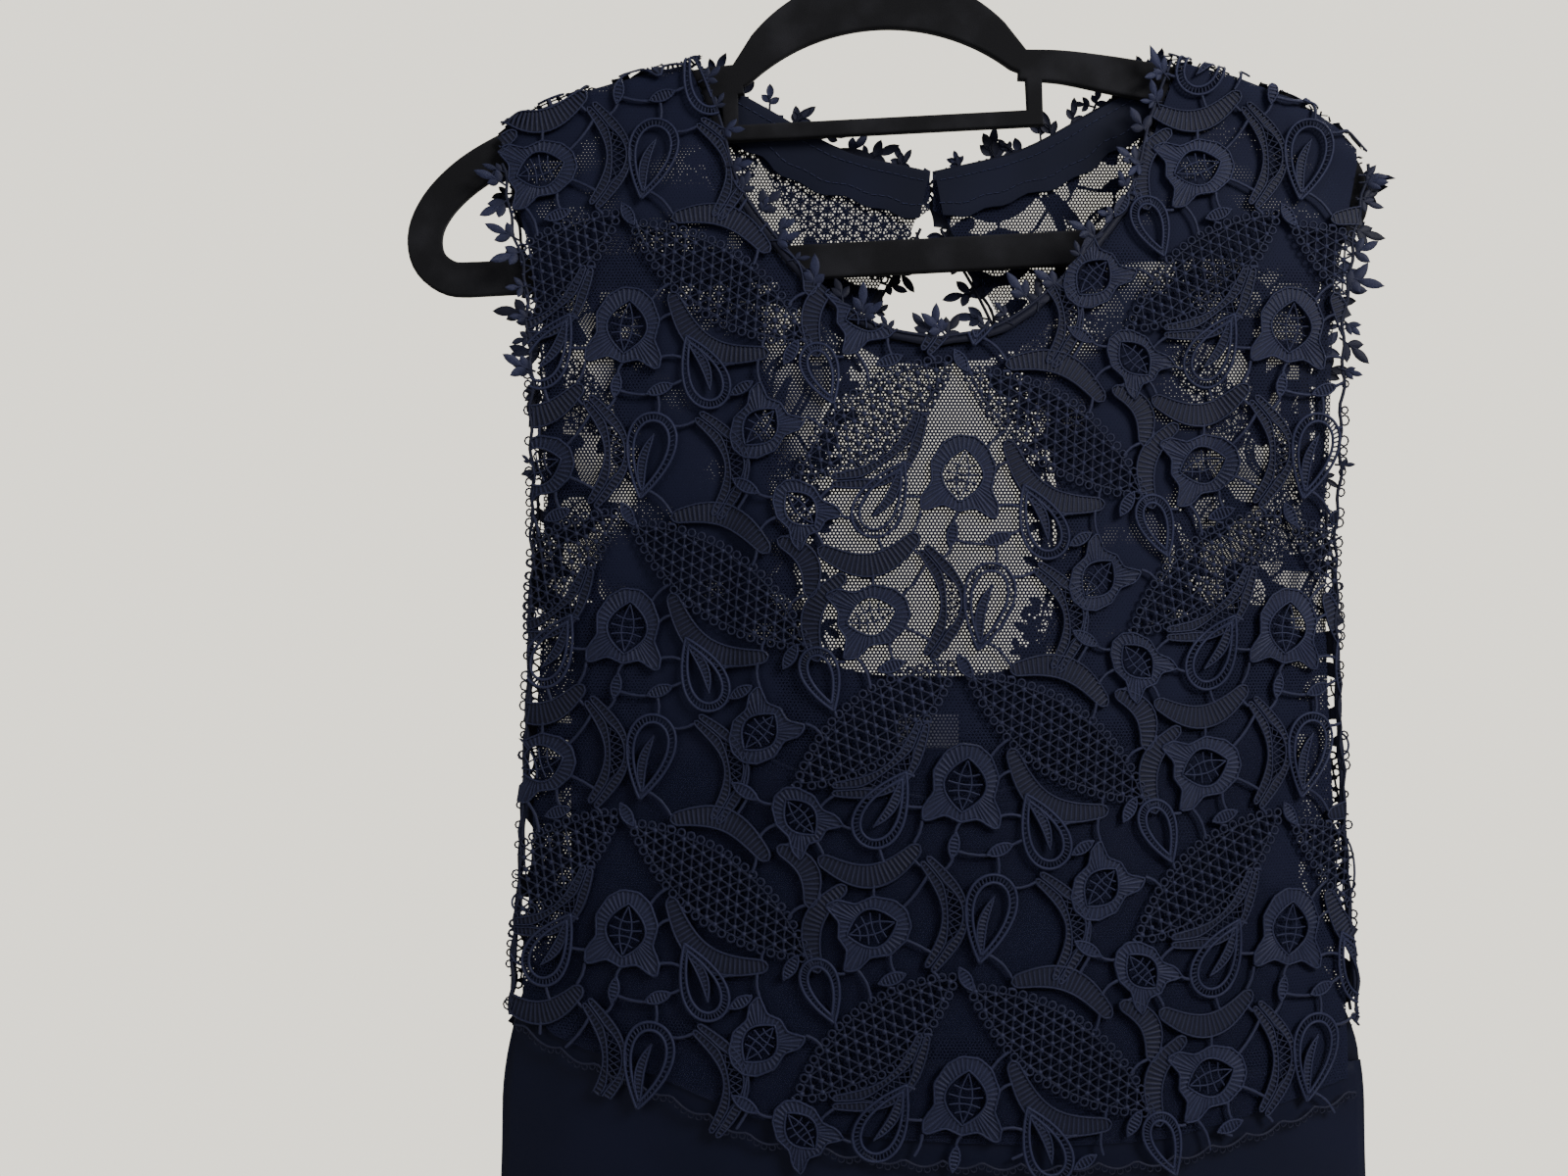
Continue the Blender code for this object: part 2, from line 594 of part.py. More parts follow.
def lace_gaps():
    """Outlines of the largest gaps of one repeat: what the motifs and bars leave open."""
    shapes = motifs()
    bars = [strip([p, q], [BRIDE_WIDE, BRIDE_WIDE]) for p, q in brides([o for o, _ in shapes])]
    verts, faces, holes = [], [], {}
    for shift in SHIFTS:
        for outline, hole in shapes + [(bar, None) for bar in bars]:
            for points in (outline, hole):
                if points is None:
                    continue
                if points is hole:
                    holes[len(faces)] = len(faces) - 1
                faces.append(list(range(len(verts), len(verts) + len(points))))
                verts += [Vector(p) for p in shifted(turning_left(points), shift)]
    co, _, tris, _, _, source = delaunay_2d_cdt(verts, [], faces, 0, 1e-4)
    empty = []
    for tri, owners in zip(tris, source):
        hollow = {holes[i] for i in owners if i in holes}
        if all(i in holes or i in hollow for i in owners):
            empty.append(tri)
    by_edge = {}
    for k, t in enumerate(empty):
        for a, b in ((t[0], t[1]), (t[1], t[2]), (t[2], t[0])):
            by_edge.setdefault(frozenset((a, b)), []).append(k)
    found, seen = [], set()
    for start in range(len(empty)):
        if start in seen:
            continue
        group, todo = [], [start]
        seen.add(start)
        while todo:
            k = todo.pop()
            group.append(empty[k])
            t = empty[k]
            for a, b in ((t[0], t[1]), (t[1], t[2]), (t[2], t[0])):
                for other in by_edge[frozenset((a, b))]:
                    if other not in seen:
                        seen.add(other)
                        todo.append(other)
        loop = simpler(max(loops_of(group, co), key=lambda l: abs(area(l))), GAP_SIMPLER)
        cu, cv = (sum(p[k] for p in loop) / len(loop) for k in (0, 1))
        if 0 <= cu < REPEAT_W and 0 <= cv < REPEAT_H:
            rim = sum(math.dist(a, b) for a, b in zip(loop, loop[1:] + loop[:1]))
            if 2 * abs(area(loop)) / rim > 2.2:         # wider than about 4 mm
                found.append([(cu + 0.97 * (u - cu), cv + 0.97 * (v - cv)) for u, v in loop])
    found.sort(key=lambda loop: -abs(area(loop)))
    return found[:GAPS_PER_REPEAT]


def gaps_on(face, outline, holes=()):
    """The repeat's gaps, laid over a panel, that lie well inside it."""
    u0, v0 = LACE_PHASE[face]
    cuts = []
    for col in range(-3, 4):
        for row in range(-8, 4):
            shift = (col * REPEAT_W + u0, (row + 0.5 * (col % 2)) * REPEAT_H + v0)
            for gap in REPEAT_GAPS:
                loop = [(u * MM, v * MM) for u, v in shifted(gap, shift)]
                below_seam = all(z < seam_z(x + GOWN_SHIFT) - 14 * MM for x, z in loop)
                if not below_seam or not all(inside(p, outline) for p in loop):
                    continue
                if any(clearance(loop, edge) < GAP_MARGIN * MM for edge in [outline, *holes]):
                    continue
                if not any(inside(loop[0], hole) for hole in holes):
                    cuts.append(loop)
    return cuts


REPEAT_GAPS = lace_gaps()
print("gaps cut in each repeat:", len(REPEAT_GAPS), "corners:", sum(len(g) for g in REPEAT_GAPS))


# ---------------------------------------------------------------- outlines of the panels
def shoulder_line(sign, inset, turn):
    """A line along one shoulder, neck to tip, where the cloth has turned so far over the arm."""
    xs = stations(NECK_HALF + inset, TIP_HALF - inset, SHOULDER_STEP)
    return [(sign * x, seam_z(sign * x + GOWN_SHIFT) - FOLD_R * turn) for x in xs]


def bends(inset):
    """The lines across both shoulders where the cloth bends over the arms, and one below them."""
    turns = (math.pi / 4, math.pi / 2, math.pi / 2 + 17 * MM / FOLD_R)
    return [shoulder_line(sign, inset, turn) for sign in (1, -1) for turn in turns]


def below_bend_z(x):
    """Just below the place where the cloth has turned down from the arm."""
    return seam_z(x + GOWN_SHIFT) - 0.5 * math.pi * FOLD_R - BEND_CLEAR


def neck_edge(neck, sign, inset, step):
    """Half a neckline from below the shoulder's bends to the middle, moved into the cloth."""
    line = through(neck, step)
    moved = []
    for i, (x, z) in enumerate(line):
        a, b = line[max(i - 1, 0)], line[min(i + 1, len(line) - 1)]
        dx, dz = b[0] - a[0], b[1] - a[1]
        k = inset / math.hypot(dx, dz)
        far = max(x - dz * k, 0.0) if i < len(line) - 1 else x
        if z + dx * k < below_bend_z(sign * far):
            moved.append((sign * far, z + dx * k))
    return moved


def side_edge(sign, inset, step, foot_z):
    """One armhole and side seam, downwards from below the shoulder's bends."""
    line = [(x, z) for x, z in through(ARMHOLE, step) if z < below_bend_z(sign * x)]
    low = stations(foot_z, ARMHOLE_FOOT_Z, FACET)[:-1]
    line += [(min(body("half", z), LACE_LOW_HALF), z) for z in reversed(low)]
    return [(sign * (x - max(inset, 0.1 * MM)), z) for x, z in line]


def panel_outline(neck, inset, foot, step):
    """A whole bodice panel, clockwise from the middle of the neckline; foot runs left to right."""
    def half(sign, foot_z):
        seam, bend, low = (shoulder_line(sign, inset, turn) for turn in (0, math.pi / 4, math.pi / 2))
        return (neck_edge(neck, sign, inset, step)[::-1] + [low[0], bend[0]] + seam + [bend[-1], low[-1]]
                + side_edge(sign, inset, step, foot_z))
    right, left = half(1, foot[-1][1]), half(-1, foot[0][1])
    return right + foot[-2:0:-1] + left[:0:-1] + ([] if neck[-1][0] == 0 else left[:1])


def foot_line(z_of, half, step):
    count = round(half / step)
    xs = [-half] + [i * step for i in range(-count + 1, count)] + [half]
    return [(x, z_of(x)) for x in xs]


def hem_z(x):
    xs, zs = zip(*LACE_HEM)
    scallop = SCALLOP_DEPTH * abs(math.sin(math.pi * x / SCALLOP))
    return float(np.interp(x / MM, xs, zs)) * MM - scallop


def sprigs(line, outward):
    """Small pairs of pointed leaves along an edge of the lace."""
    found = []
    length = sum(math.dist(a, b) for a, b in zip(line, line[1:]))
    count = int(length / SPRIG_STEP)
    for k in range(count):
        goal = length * (k + 0.5) / count
        for a, b in zip(line, line[1:]):
            step = math.dist(a, b)
            if goal <= step:
                break
            goal -= step
        t = goal / step
        x, z = a[0] + (b[0] - a[0]) * t, a[1] + (b[1] - a[1]) * t
        along = math.degrees(math.atan2(b[1] - a[1], b[0] - a[0]))
        size = MM * (1 + 0.18 * math.sin(2.3 * k))
        shape = [(u * size, v * size * outward) for u, v in SPRIG_SHAPE]
        found.append(placed(shape, x, z, along + 8 * math.sin(1.7 * k)))
    return found


def keyhole_outline(inset, step):
    """The keyhole with its slit up through the neckline."""
    slit = 0.5 * SLIT_WIDTH
    half = [(slit, SLIT_TOP_Z)]
    for x, z in through(KEYHOLE, step):
        wide = max(x + inset, slit) if x > SLIT_WIDTH else slit
        half.append((wide if x else 0.0, z))
    return mirrored(half)


# ---------------------------------------------------------------- pieces of the gown
def make_lace(name, face, neck, mat, hole=None):
    """A lace panel with its gaps cut through and leaves along its free edges."""
    outline = panel_outline(neck, 0.0, foot_line(hem_z, 192 * MM, SCALLOP / 4), 13 * MM)
    holes = [hole] if hole else []
    cuts = gaps_on(face, outline, holes)
    leaves = []
    for sign in (1, -1):
        leaves += sprigs(neck_edge(neck, sign, 0.0, 8 * MM), -sign)
        side = [p for p in side_edge(sign, 0.0, 9 * MM, -400 * MM) if p[1] > ARMHOLE_FOOT_Z + 14 * MM]
        leaves += sprigs(side, sign)
        rim = [(sign * abs(x), z) for x, z in (hole or ())[:len(hole or ()) // 2]
               if KEYHOLE_FOOT_Z + 12 * MM < z < KEYHOLE_TOP_Z - 8 * MM]
        if rim:
            leaves += sprigs(rim, -sign)
    fill = grid_points(outline, FACET, 7 * MM, cuts + holes)
    print(name, "gaps:", len(cuts), "leaf pairs:", len(leaves))
    flat = flat_shape([outline], cuts + holes, bends(0.0), fill, leaves)
    return wall(name, face, flat, lambda x, z: 0.0, lambda x, z: LACE_THICK, mat)


def make_net(name, face, neck, mat, hole=None):
    foot = foot_line(lambda x: hem_z(0.0) + (hem_z(x) - hem_z(0.0)) * 0.9 + NET_PAST_HEM, 186 * MM, SCALLOP)
    outline = panel_outline(neck, NET_INSET, foot, 17 * MM)
    holes = [hole] if hole else []
    fill = grid_points(outline, FACET, 7 * MM, holes)
    return cloth(name, face, flat_shape([outline], holes, bends(NET_INSET), fill), 1, mat)


def waist_z(x):
    """The straight waist seam, a little lower on the right."""
    return WAIST_Z - WAIST_SLOPE * (x + LACE_LOW_HALF)


def waist_x(share):
    """Half width of the lower cloth at the waist seam, for a share from -1 to 1."""
    x = share * LACE_LOW_HALF
    for _ in range(4):
        x = share * (body("half", waist_z(x)) - LOW_EDGE_IN)
    return x


def make_lining(name, face, top_rows, mat):
    """The plain lower lining, narrower than the lace above the waist."""
    half = through([(x * MM, z * MM) for x, z in top_rows], 24 * MM)
    narrow, top_z = half[0]

    def side(sign):
        end = waist_x(sign)
        foot_z = waist_z(end) + SEAM_GAP
        zs = stations(foot_z, top_z, FACET)[-2::-1]
        spread = [ease((LINING_NARROW_Z - z) / (LINING_NARROW_Z - foot_z)) for z in zs]
        return [(sign * (narrow + (abs(end) - narrow) * t), z) for t, z in zip(spread, zs)]
    right, left = side(1), side(-1)
    foot = [(waist_x(share / 8), waist_z(waist_x(share / 8)) + SEAM_GAP) for share in range(7, -8, -1)]
    outline = half[::-1] + right + foot + left[::-1] + [(-x, z) for x, z in half[:-1]]
    fill = grid_points(outline, FACET, 7 * MM)
    return cloth(name, face, flat_shape([outline], (), (), fill), 2, mat)


def make_band(name, face, line, wide, inward, mat, middle_gap=None):
    """A narrow band along an edge: the edge's points, and the same points moved in."""
    moved = []
    for i, (x, z) in enumerate(line):
        a, b = line[max(i - 1, 0)], line[min(i + 1, len(line) - 1)]
        dx, dz = b[0] - a[0], b[1] - a[1]
        k = wide * inward / math.hypot(dx, dz)
        moved.append((x - dz * k, z + dx * k))
    outline = list(line) + moved[::-1]
    if middle_gap:
        side = 1 if line[0][0] > 0 else -1
        outline = [(side * max(side * x, middle_gap), z) for x, z in outline]
    return cloth(name, face, flat_shape([outline]), 2, mat)


def make_front_facing(mat):
    right, left = (neck_edge(FRONT_NECK, sign, FACING_INSET, 15 * MM) for sign in (1, -1))
    make_band("neck_facing_front", FRONT, right + left[-2::-1], FRONT_FACING_WIDE, 1, mat)


def make_back_facings(mat):
    for sign, side in ((-1, "left"), (1, "right")):
        line = neck_edge(BACK_NECK, sign, FACING_INSET, 15 * MM)
        make_band("neck_facing_back_" + side, BACK, line, BACK_FACING_WIDE, sign, mat, SLIT_WIDTH)


def make_armhole_binding(name, face, sign, mat):
    line = [(x - sign * BINDING_INSET, z) for x, z in side_edge(sign, 0.0, 16 * MM, -400 * MM)
            if seam_z(x + GOWN_SHIFT) - BINDING_TOP > z > ARMHOLE_FOOT_Z + BINDING_FOOT]
    make_band(name, face, line, BINDING_WIDE, -sign, mat)


def make_skirt(name, face, mat):
    """A plain floor-length panel, laid on the surface in rows and columns."""
    rows, cols = 9, 18
    verts, n = [], (rows + 1) * (cols + 1)
    for depth in (CLOTH_THICK, 0.0):
        for i in range(rows + 1):
            for j in range(cols + 1):
                share = 2 * j / cols - 1
                top = waist_z(waist_x(share))
                z = top + (HEM_Z - top) * (i / rows) ** 1.15
                x = share * (body("half", z) - LOW_EDGE_IN)
                verts.append(surface(face, x, z) + normal(face, x, z) * (layer(2, x, z) - depth))
    faces = []
    for i in range(rows):
        for j in range(cols):
            a = i * (cols + 1) + j
            b, c, d = a + 1, a + cols + 2, a + cols + 1
            faces += [[a, b, c], [a, c, d], [n + c, n + b, n + a], [n + d, n + c, n + a]]
    rim = [j for j in range(cols)] + [i * (cols + 1) + cols for i in range(rows)]
    rim += [rows * (cols + 1) + j for j in range(cols, 0, -1)] + [i * (cols + 1) for i in range(rows, 0, -1)]
    for a, b in zip(rim, rim[1:] + rim[:1]):
        faces += [[b, a, a + n], [b, a + n, b + n]]
    return add_object(name, verts, faces, mat)


def make_label(mat):
    """A blank woven label on the inner side of the back lining."""
    wide, tall = LABEL_SIZE
    columns = [wide * (i / 4 - 0.5) for i in range(5)]
    outline = [(x, LABEL_Z + tall / 2) for x in columns] + [(x, LABEL_Z - tall / 2) for x in reversed(columns)]

    def sewn_side(x, z):
        return layer(2, x, z) - CLOTH_THICK - LAYER_GAP

    def free_side(x, z):
        return sewn_side(x, z) - LABEL_THICK

    return wall("label", BACK, flat_shape([outline]), free_side, sewn_side, mat)


def make_button(mat):
    """A small domed button at the nape, on the outside of the back."""
    base = surface(BACK, *BUTTON_AT) + normal(BACK, *BUTTON_AT) * (LACE_THICK + 0.4 * MM)
    bm = bmesh.new()
    rings, sides = 4, 16
    back = bm.verts.new(base)
    rim = [[bm.verts.new(base + Vector((BUTTON_R * math.cos(a) * math.cos(r), BUTTON_TALL * math.sin(r),
                                        BUTTON_R * math.sin(a) * math.cos(r))))
            for a in (2 * math.pi * i / sides for i in range(sides))]
           for r in (0.5 * math.pi * k / rings for k in range(rings))]
    front = bm.verts.new(base + Vector((0, BUTTON_TALL, 0)))
    for i in range(sides):
        j = (i + 1) % sides
        bm.faces.new((back, rim[0][i], rim[0][j]))
        for low, high in zip(rim, rim[1:]):
            bm.faces.new((low[i], high[i], high[j], low[j]))
        bm.faces.new((rim[-1][i], front, rim[-1][j]))
    bmesh.ops.recalc_face_normals(bm, faces=bm.faces)
    mesh = bpy.data.meshes.new("nape_button")
    bm.to_mesh(mesh)
    bm.free()
    mesh.materials.append(mat)
    mesh.shade_smooth()
    bpy.context.scene.collection.objects.link(bpy.data.objects.new("nape_button", mesh))


def make_tube(name, points, radius, sides, mat):
    """A round cord or wire along points that lie in a plane facing the front."""
    centres = [Vector(p) for p in points]
    verts, faces = [], []
    for i, centre in enumerate(centres):
        along = (centres[min(i + 1, len(centres) - 1)] - centres[max(i - 1, 0)]).normalized()
        across = along.cross(Vector((0, 1, 0))).normalized()
        up = across.cross(along)
        for k in range(sides):
            a = 2 * math.pi * k / sides
            verts.append(centre + radius * (math.cos(a) * across + math.sin(a) * up))
    for i in range(len(centres) - 1):
        for k in range(sides):
            a, b = i * sides + k, i * sides + (k + 1) % sides
            faces.append([a, b, b + sides, a + sides])
    faces += [list(range(sides)), list(range(len(verts) - sides, len(verts)))]
    return add_object(name, verts, faces, mat)


def make_nape_loop(mat):
    """The thread loop that goes round the button from the other side of the slit."""
    base = surface(BACK, *BUTTON_AT) + normal(BACK, *BUTTON_AT) * (LACE_THICK + 1.4 * MM)
    ring = BUTTON_R + 1.2 * MM
    turns = [math.radians(a) for a in range(-150, 151, 25)]
    arc_points = [base + Vector((ring * math.cos(a), 0, ring * math.sin(a))) for a in turns]
    ends = [base + Vector((-LOOP_REACH, 0, rise)) for rise in (-LOOP_SPREAD, LOOP_SPREAD)]
    make_tube("nape_loop", [ends[0]] + arc_points + [ends[1]], LOOP_CORD_R, 6, mat)


# ---------------------------------------------------------------- the hanger
def hung(x, drop):
    """A point of the hanger's own drawing, hung and tilted."""
    z = -drop - HOOK_DROP
    c, s = math.cos(HANGER_TILT), math.sin(HANGER_TILT)
    return (x * c - z * s, x * s + z * c)


def make_hanger(mat):
    """The flat flocked body: arch, two arms with end loops, trouser bar and tie bar."""
    arm = through([(row["x"] * MM, row["drop"] * MM) for row in ARM], 12 * MM)
    arm_x = np.array([0] + [math.dist(a, b) for a, b in zip(arm, arm[1:])]).cumsum()
    key_x = np.array([0] + [math.dist((a["x"], a["drop"]), (b["x"], b["drop"])) * MM
                            for a, b in zip(ARM, ARM[1:])]).cumsum()
    widths = [float(w) * MM for w in np.interp(arm_x * key_x[-1] / arm_x[-1], key_x, [r["wide"] for r in ARM])]
    right = strip(arm, widths)
    outer = [(ARCH_OUTER_R * math.sin(a), ARCH_OUTER_R * (1 - math.cos(a)))
             for a in (math.radians(d) for d in range(-48, 49, 6))]
    low = math.asin(ARCH_INNER_HALF / ARCH_INNER_R)
    inner = [(ARCH_INNER_R * math.sin(a), ARCH_BAND + ARCH_INNER_R * (1 - math.cos(a)))
             for a in np.linspace(low, -low, 15)]
    foot = [(x * MM, drop * MM) for x, drop in ARCH_FOOT]
    arch = outer + foot + [tuple(map(float, p)) for p in inner] + [(-x, drop) for x, drop in reversed(foot)]
    bar = strip([(-BAR_HALF, BAR_DROP), (BAR_HALF, BAR_DROP)], [BAR_HEIGHT] * 2)
    tie_half = TIE_POST_X + 3.6 * MM
    tie = strip([(-tie_half, TIE_BAR_DROP), (tie_half, TIE_BAR_DROP)], [TIE_BAR_HEIGHT] * 2)
    posts = [strip([(s * TIE_POST_X, 45 * MM), (s * TIE_POST_X, TIE_BAR_DROP)], [TIE_POST_WIDE] * 2)
             for s in (1, -1)]
    adds = [right, [(-x, d) for x, d in right], arch, bar, tie] + posts
    joined, tris = flat_shape([[hung(x, d) for x, d in shape] for shape in adds])
    loops = sorted((simpler(loop, 0.12 * MM) for loop in loops_of(tris, joined)), key=lambda l: -abs(area(l)))
    flat, tris = flat_shape(loops[:1], loops[1:])
    bm = bmesh.new()
    verts = [bm.verts.new((x, 0.5 * HANGER_THICK, z)) for x, z in flat]
    for tri in tris:
        bm.faces.new([verts[i] for i in tri])
    bmesh.ops.dissolve_limit(bm, angle_limit=0.02, verts=bm.verts, edges=bm.edges)
    made = bmesh.ops.extrude_face_region(bm, geom=bm.faces[:])
    bmesh.ops.translate(bm, vec=(0, -HANGER_THICK, 0),
                        verts=[g for g in made["geom"] if isinstance(g, bmesh.types.BMVert)])
    bmesh.ops.recalc_face_normals(bm, faces=bm.faces)
    mesh = bpy.data.meshes.new("hanger_body")
    bm.to_mesh(mesh)
    bm.free()
    mesh.materials.append(mat)
    obj = bpy.data.objects.new("hanger_body", mesh)
    bpy.context.scene.collection.objects.link(obj)
    bevel = obj.modifiers.new("rounded edges", "BEVEL")
    bevel.width = HANGER_EDGE_R
    bevel.segments = 1
    bevel.limit_method = "ANGLE"
    bevel.angle_limit = math.radians(60)
    return obj


def make_hook(mat):
    """The wire hook: a straight shank, then three quarters of a circle."""
    radius = HOOK_INNER_R + HOOK_WIRE / 2
    line = [hung(x, drop - HOOK_DROP) for x, drop in [(0, HOOK_DROP - SEAM_GAP), *SHANK]]
    turn = [math.radians(a) for a in range(-20, 206, 15)]
    line += [(radius * math.cos(a), radius * math.sin(a) - HOOK_INNER_R) for a in turn]
    make_tube("hanger_hook", [(x, 0, z) for x, z in line], HOOK_WIRE / 2, 8, mat)


def build():
    for obj in list(bpy.data.objects):
        bpy.data.objects.remove(obj, do_unlink=True)
    navy_lace = material("navy_lace", (0.010, 0.014, 0.052), 0.55)
    navy_net = material("navy_net", (0.012, 0.018, 0.060), 0.7)
    navy_lining = material("navy_lining", (0.008, 0.014, 0.052), 0.6)
    navy_crepe = material("navy_crepe", (0.006, 0.009, 0.030), 0.6)
    flock = material("black_flock", (0.004, 0.004, 0.005), 0.95)
    steel = material("hook_steel", (0.7, 0.7, 0.7), 0.25, 1.0)
    white = material("label_white", (0.72, 0.71, 0.69), 0.7)

    make_hanger(flock)
    make_hook(steel)
    make_lace("lace_front", FRONT, FRONT_NECK, navy_lace)
    make_lace("lace_back", BACK, BACK_NECK, navy_lace, keyhole_outline(0.0, 22 * MM))
    make_net("net_front", FRONT, FRONT_NECK, navy_net)
    make_net("net_back", BACK, BACK_NECK, navy_net, keyhole_outline(KEYHOLE_NET_INSET, 28 * MM))
    make_lining("lining_front", FRONT, FRONT_LINING_TOP, navy_lining)
    make_lining("lining_back", BACK, BACK_LINING_TOP, navy_lining)
    make_front_facing(navy_lining)
    make_back_facings(navy_lining)
    for sign, side in ((-1, "left"), (1, "right")):
        make_armhole_binding("armhole_binding_front_" + side, FRONT, sign, navy_lining)
        make_armhole_binding("armhole_binding_back_" + side, BACK, sign, navy_lining)
    make_skirt("skirt_front", FRONT, navy_crepe)
    make_skirt("skirt_back", BACK, navy_crepe)
    make_label(white)
    make_button(navy_lining)
    make_nape_loop(navy_lining)


build()
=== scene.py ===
# %% [markdown]
# # An evening gown on its hanger
#
# The gown has a bodice of heavy openwork lace over a fine net, a plain lining below the bust, a keyhole
# in the back and a plain floor-length skirt. This notebook loads the packed model, and then makes each
# cloth again with the detail that shows from a step away: the lace cord by cord, the net's mesh, the
# seams, the stitches and the soft folds.

# %% Load the packed model
import json
import math

import bpy
import numpy as np
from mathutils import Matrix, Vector
from mathutils.geometry import delaunay_2d_cdt

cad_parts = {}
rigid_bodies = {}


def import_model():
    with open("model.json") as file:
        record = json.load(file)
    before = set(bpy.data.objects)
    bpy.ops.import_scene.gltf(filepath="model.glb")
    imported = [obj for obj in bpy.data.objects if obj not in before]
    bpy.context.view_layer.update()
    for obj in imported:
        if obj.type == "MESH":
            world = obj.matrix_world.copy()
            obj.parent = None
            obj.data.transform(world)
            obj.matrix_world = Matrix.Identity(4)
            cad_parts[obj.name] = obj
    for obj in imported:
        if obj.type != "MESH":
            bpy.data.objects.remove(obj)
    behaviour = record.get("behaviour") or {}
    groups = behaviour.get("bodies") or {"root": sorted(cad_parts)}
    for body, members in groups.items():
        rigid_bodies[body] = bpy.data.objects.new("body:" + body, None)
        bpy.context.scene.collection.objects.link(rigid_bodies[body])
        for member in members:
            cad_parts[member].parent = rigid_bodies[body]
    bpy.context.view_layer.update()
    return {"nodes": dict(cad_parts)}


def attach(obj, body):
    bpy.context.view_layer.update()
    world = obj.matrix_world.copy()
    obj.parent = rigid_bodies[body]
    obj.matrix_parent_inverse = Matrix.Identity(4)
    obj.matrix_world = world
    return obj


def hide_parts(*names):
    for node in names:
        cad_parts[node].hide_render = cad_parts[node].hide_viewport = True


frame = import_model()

FRONT, BACK = -1, 1
dice = np.random.default_rng(7)
print("nodes:", len(frame["nodes"]))

# %% [markdown]
# ## The camera and the light
#
# The photograph was taken from about 0.7 m, level with the bust, so the camera stands there. Its lens
# follows from one scale: how many millimetres of the hanger a pixel covers.

# %% Camera
PIXEL = 0.454                   # millimetres of the hanger's plane for each pixel of the photograph
HOOK_PIXEL = (884, -192)        # where the hanging point lies, above the picture
CAMERA_AWAY = 720


def from_pixel(px, py):
    """The place on the hanger's plane, in millimetres, of a pixel of the photograph."""
    return (px - HOOK_PIXEL[0]) * PIXEL, -(py - HOOK_PIXEL[1]) * PIXEL


camera = bpy.data.objects.new("camera", bpy.data.cameras.new("camera"))
bpy.context.scene.collection.objects.link(camera)
bpy.context.scene.camera = camera
middle_x, middle_z = from_pixel(800, 600)
camera.location = (middle_x / 1000, -CAMERA_AWAY / 1000, middle_z / 1000)
camera.rotation_euler = (math.pi / 2, 0, 0)
camera.data.sensor_width = 36
camera.data.lens = 36 * CAMERA_AWAY / (1600 * PIXEL)
camera.data.clip_start = 0.02
print("lens:", round(camera.data.lens, 1), "mm")


# %% [markdown]
# A small bright window from the right and above gives the lace its relief. A wide dim light from the
# left fills the shadows, and a third lights the back, which other views show.
#
# A wall behind the gown would hide its back too, so the world stands for it: a pale colour that the
# camera sees, also through the net. What lights the cloth is a second, dimmer and whiter colour.

# %% Lights
def lamp(name, place, target, size, watts, colour):
    data = bpy.data.lights.new(name, "AREA")
    data.shape, data.size, data.energy, data.color = "DISK", size, watts, colour
    light = bpy.data.objects.new(name, data)
    light.location = place
    light.rotation_euler = (Vector(target) - Vector(place)).to_track_quat("-Z", "Y").to_euler()
    bpy.context.scene.collection.objects.link(light)


lamp("window", (1.15, -1.2, 0.62), (0.03, 0, -0.3), 0.8, 72, (1.0, 0.99, 0.97))
lamp("room", (-1.3, -1.7, 0.5), (0.03, 0, -0.4), 1.6, 18, (0.97, 0.98, 1.0))
lamp("behind", (0.9, 1.8, 0.6), (0.03, 0, -0.6), 1.5, 55, (1, 1, 1))

# %% The pale wall
world = bpy.data.worlds.new("room")
bpy.context.scene.world = world
world.use_nodes = True
tree = world.node_tree
wall = tree.nodes["Background"]
glow = tree.nodes.new("ShaderNodeBackground")
for shade, colour, strength in ((wall, (0.875, 0.83, 0.715, 1), 1.95), (glow, (0.9, 0.9, 0.92, 1), 0.75)):
    shade.inputs["Color"].default_value = colour
    shade.inputs["Strength"].default_value = strength
seen = tree.nodes.new("ShaderNodeLightPath")
both = tree.nodes.new("ShaderNodeMixShader")
tree.links.new(seen.outputs["Is Camera Ray"], both.inputs[0])
tree.links.new(glow.outputs[0], both.inputs[1])
tree.links.new(wall.outputs[0], both.inputs[2])
tree.links.new(both.outputs[0], tree.nodes["World Output"].inputs["Surface"])
print("nodes of the world:", len(tree.nodes))

# %% [markdown]
# ## Materials as Python expressions
#
# A material is a small sum: a colour plus some noise, a height that becomes a bump. One class wraps a
# socket, so that such a sum can be written as it would be on paper, and each operator adds its node.
# Colours are mixed by a Mix node, because a Math node would turn them grey.


# %% Values
class Value:
    """A socket of a finish; sums and products with it add the nodes that work them out."""

    def __init__(self, finish, socket):
        self.finish, self.socket = finish, socket

    def math(self, operation, *others):
        return self.finish.node("ShaderNodeMath", {"operation": operation}, dict(enumerate((self, *others))))

    def __add__(self, other):
        return self.math("ADD", other)

    def __mul__(self, other):
        return self.math("MULTIPLY", other)

    def __sub__(self, other):
        return self.math("SUBTRACT", other)

    def __rsub__(self, other):
        return self.finish.node("ShaderNodeMath", {"operation": "SUBTRACT"}, {0: other, 1: self})

    __radd__, __rmul__ = __add__, __mul__

    def smooth(self, low, high):
        """0 below low, 1 above high."""
        return self.finish.node("ShaderNodeMapRange", {"interpolation_type": "SMOOTHSTEP"},
                                {"Value": self, "From Min": low, "From Max": high})


print("a Value has:", ", ".join(name for name in vars(Value) if callable(getattr(Value, name))))


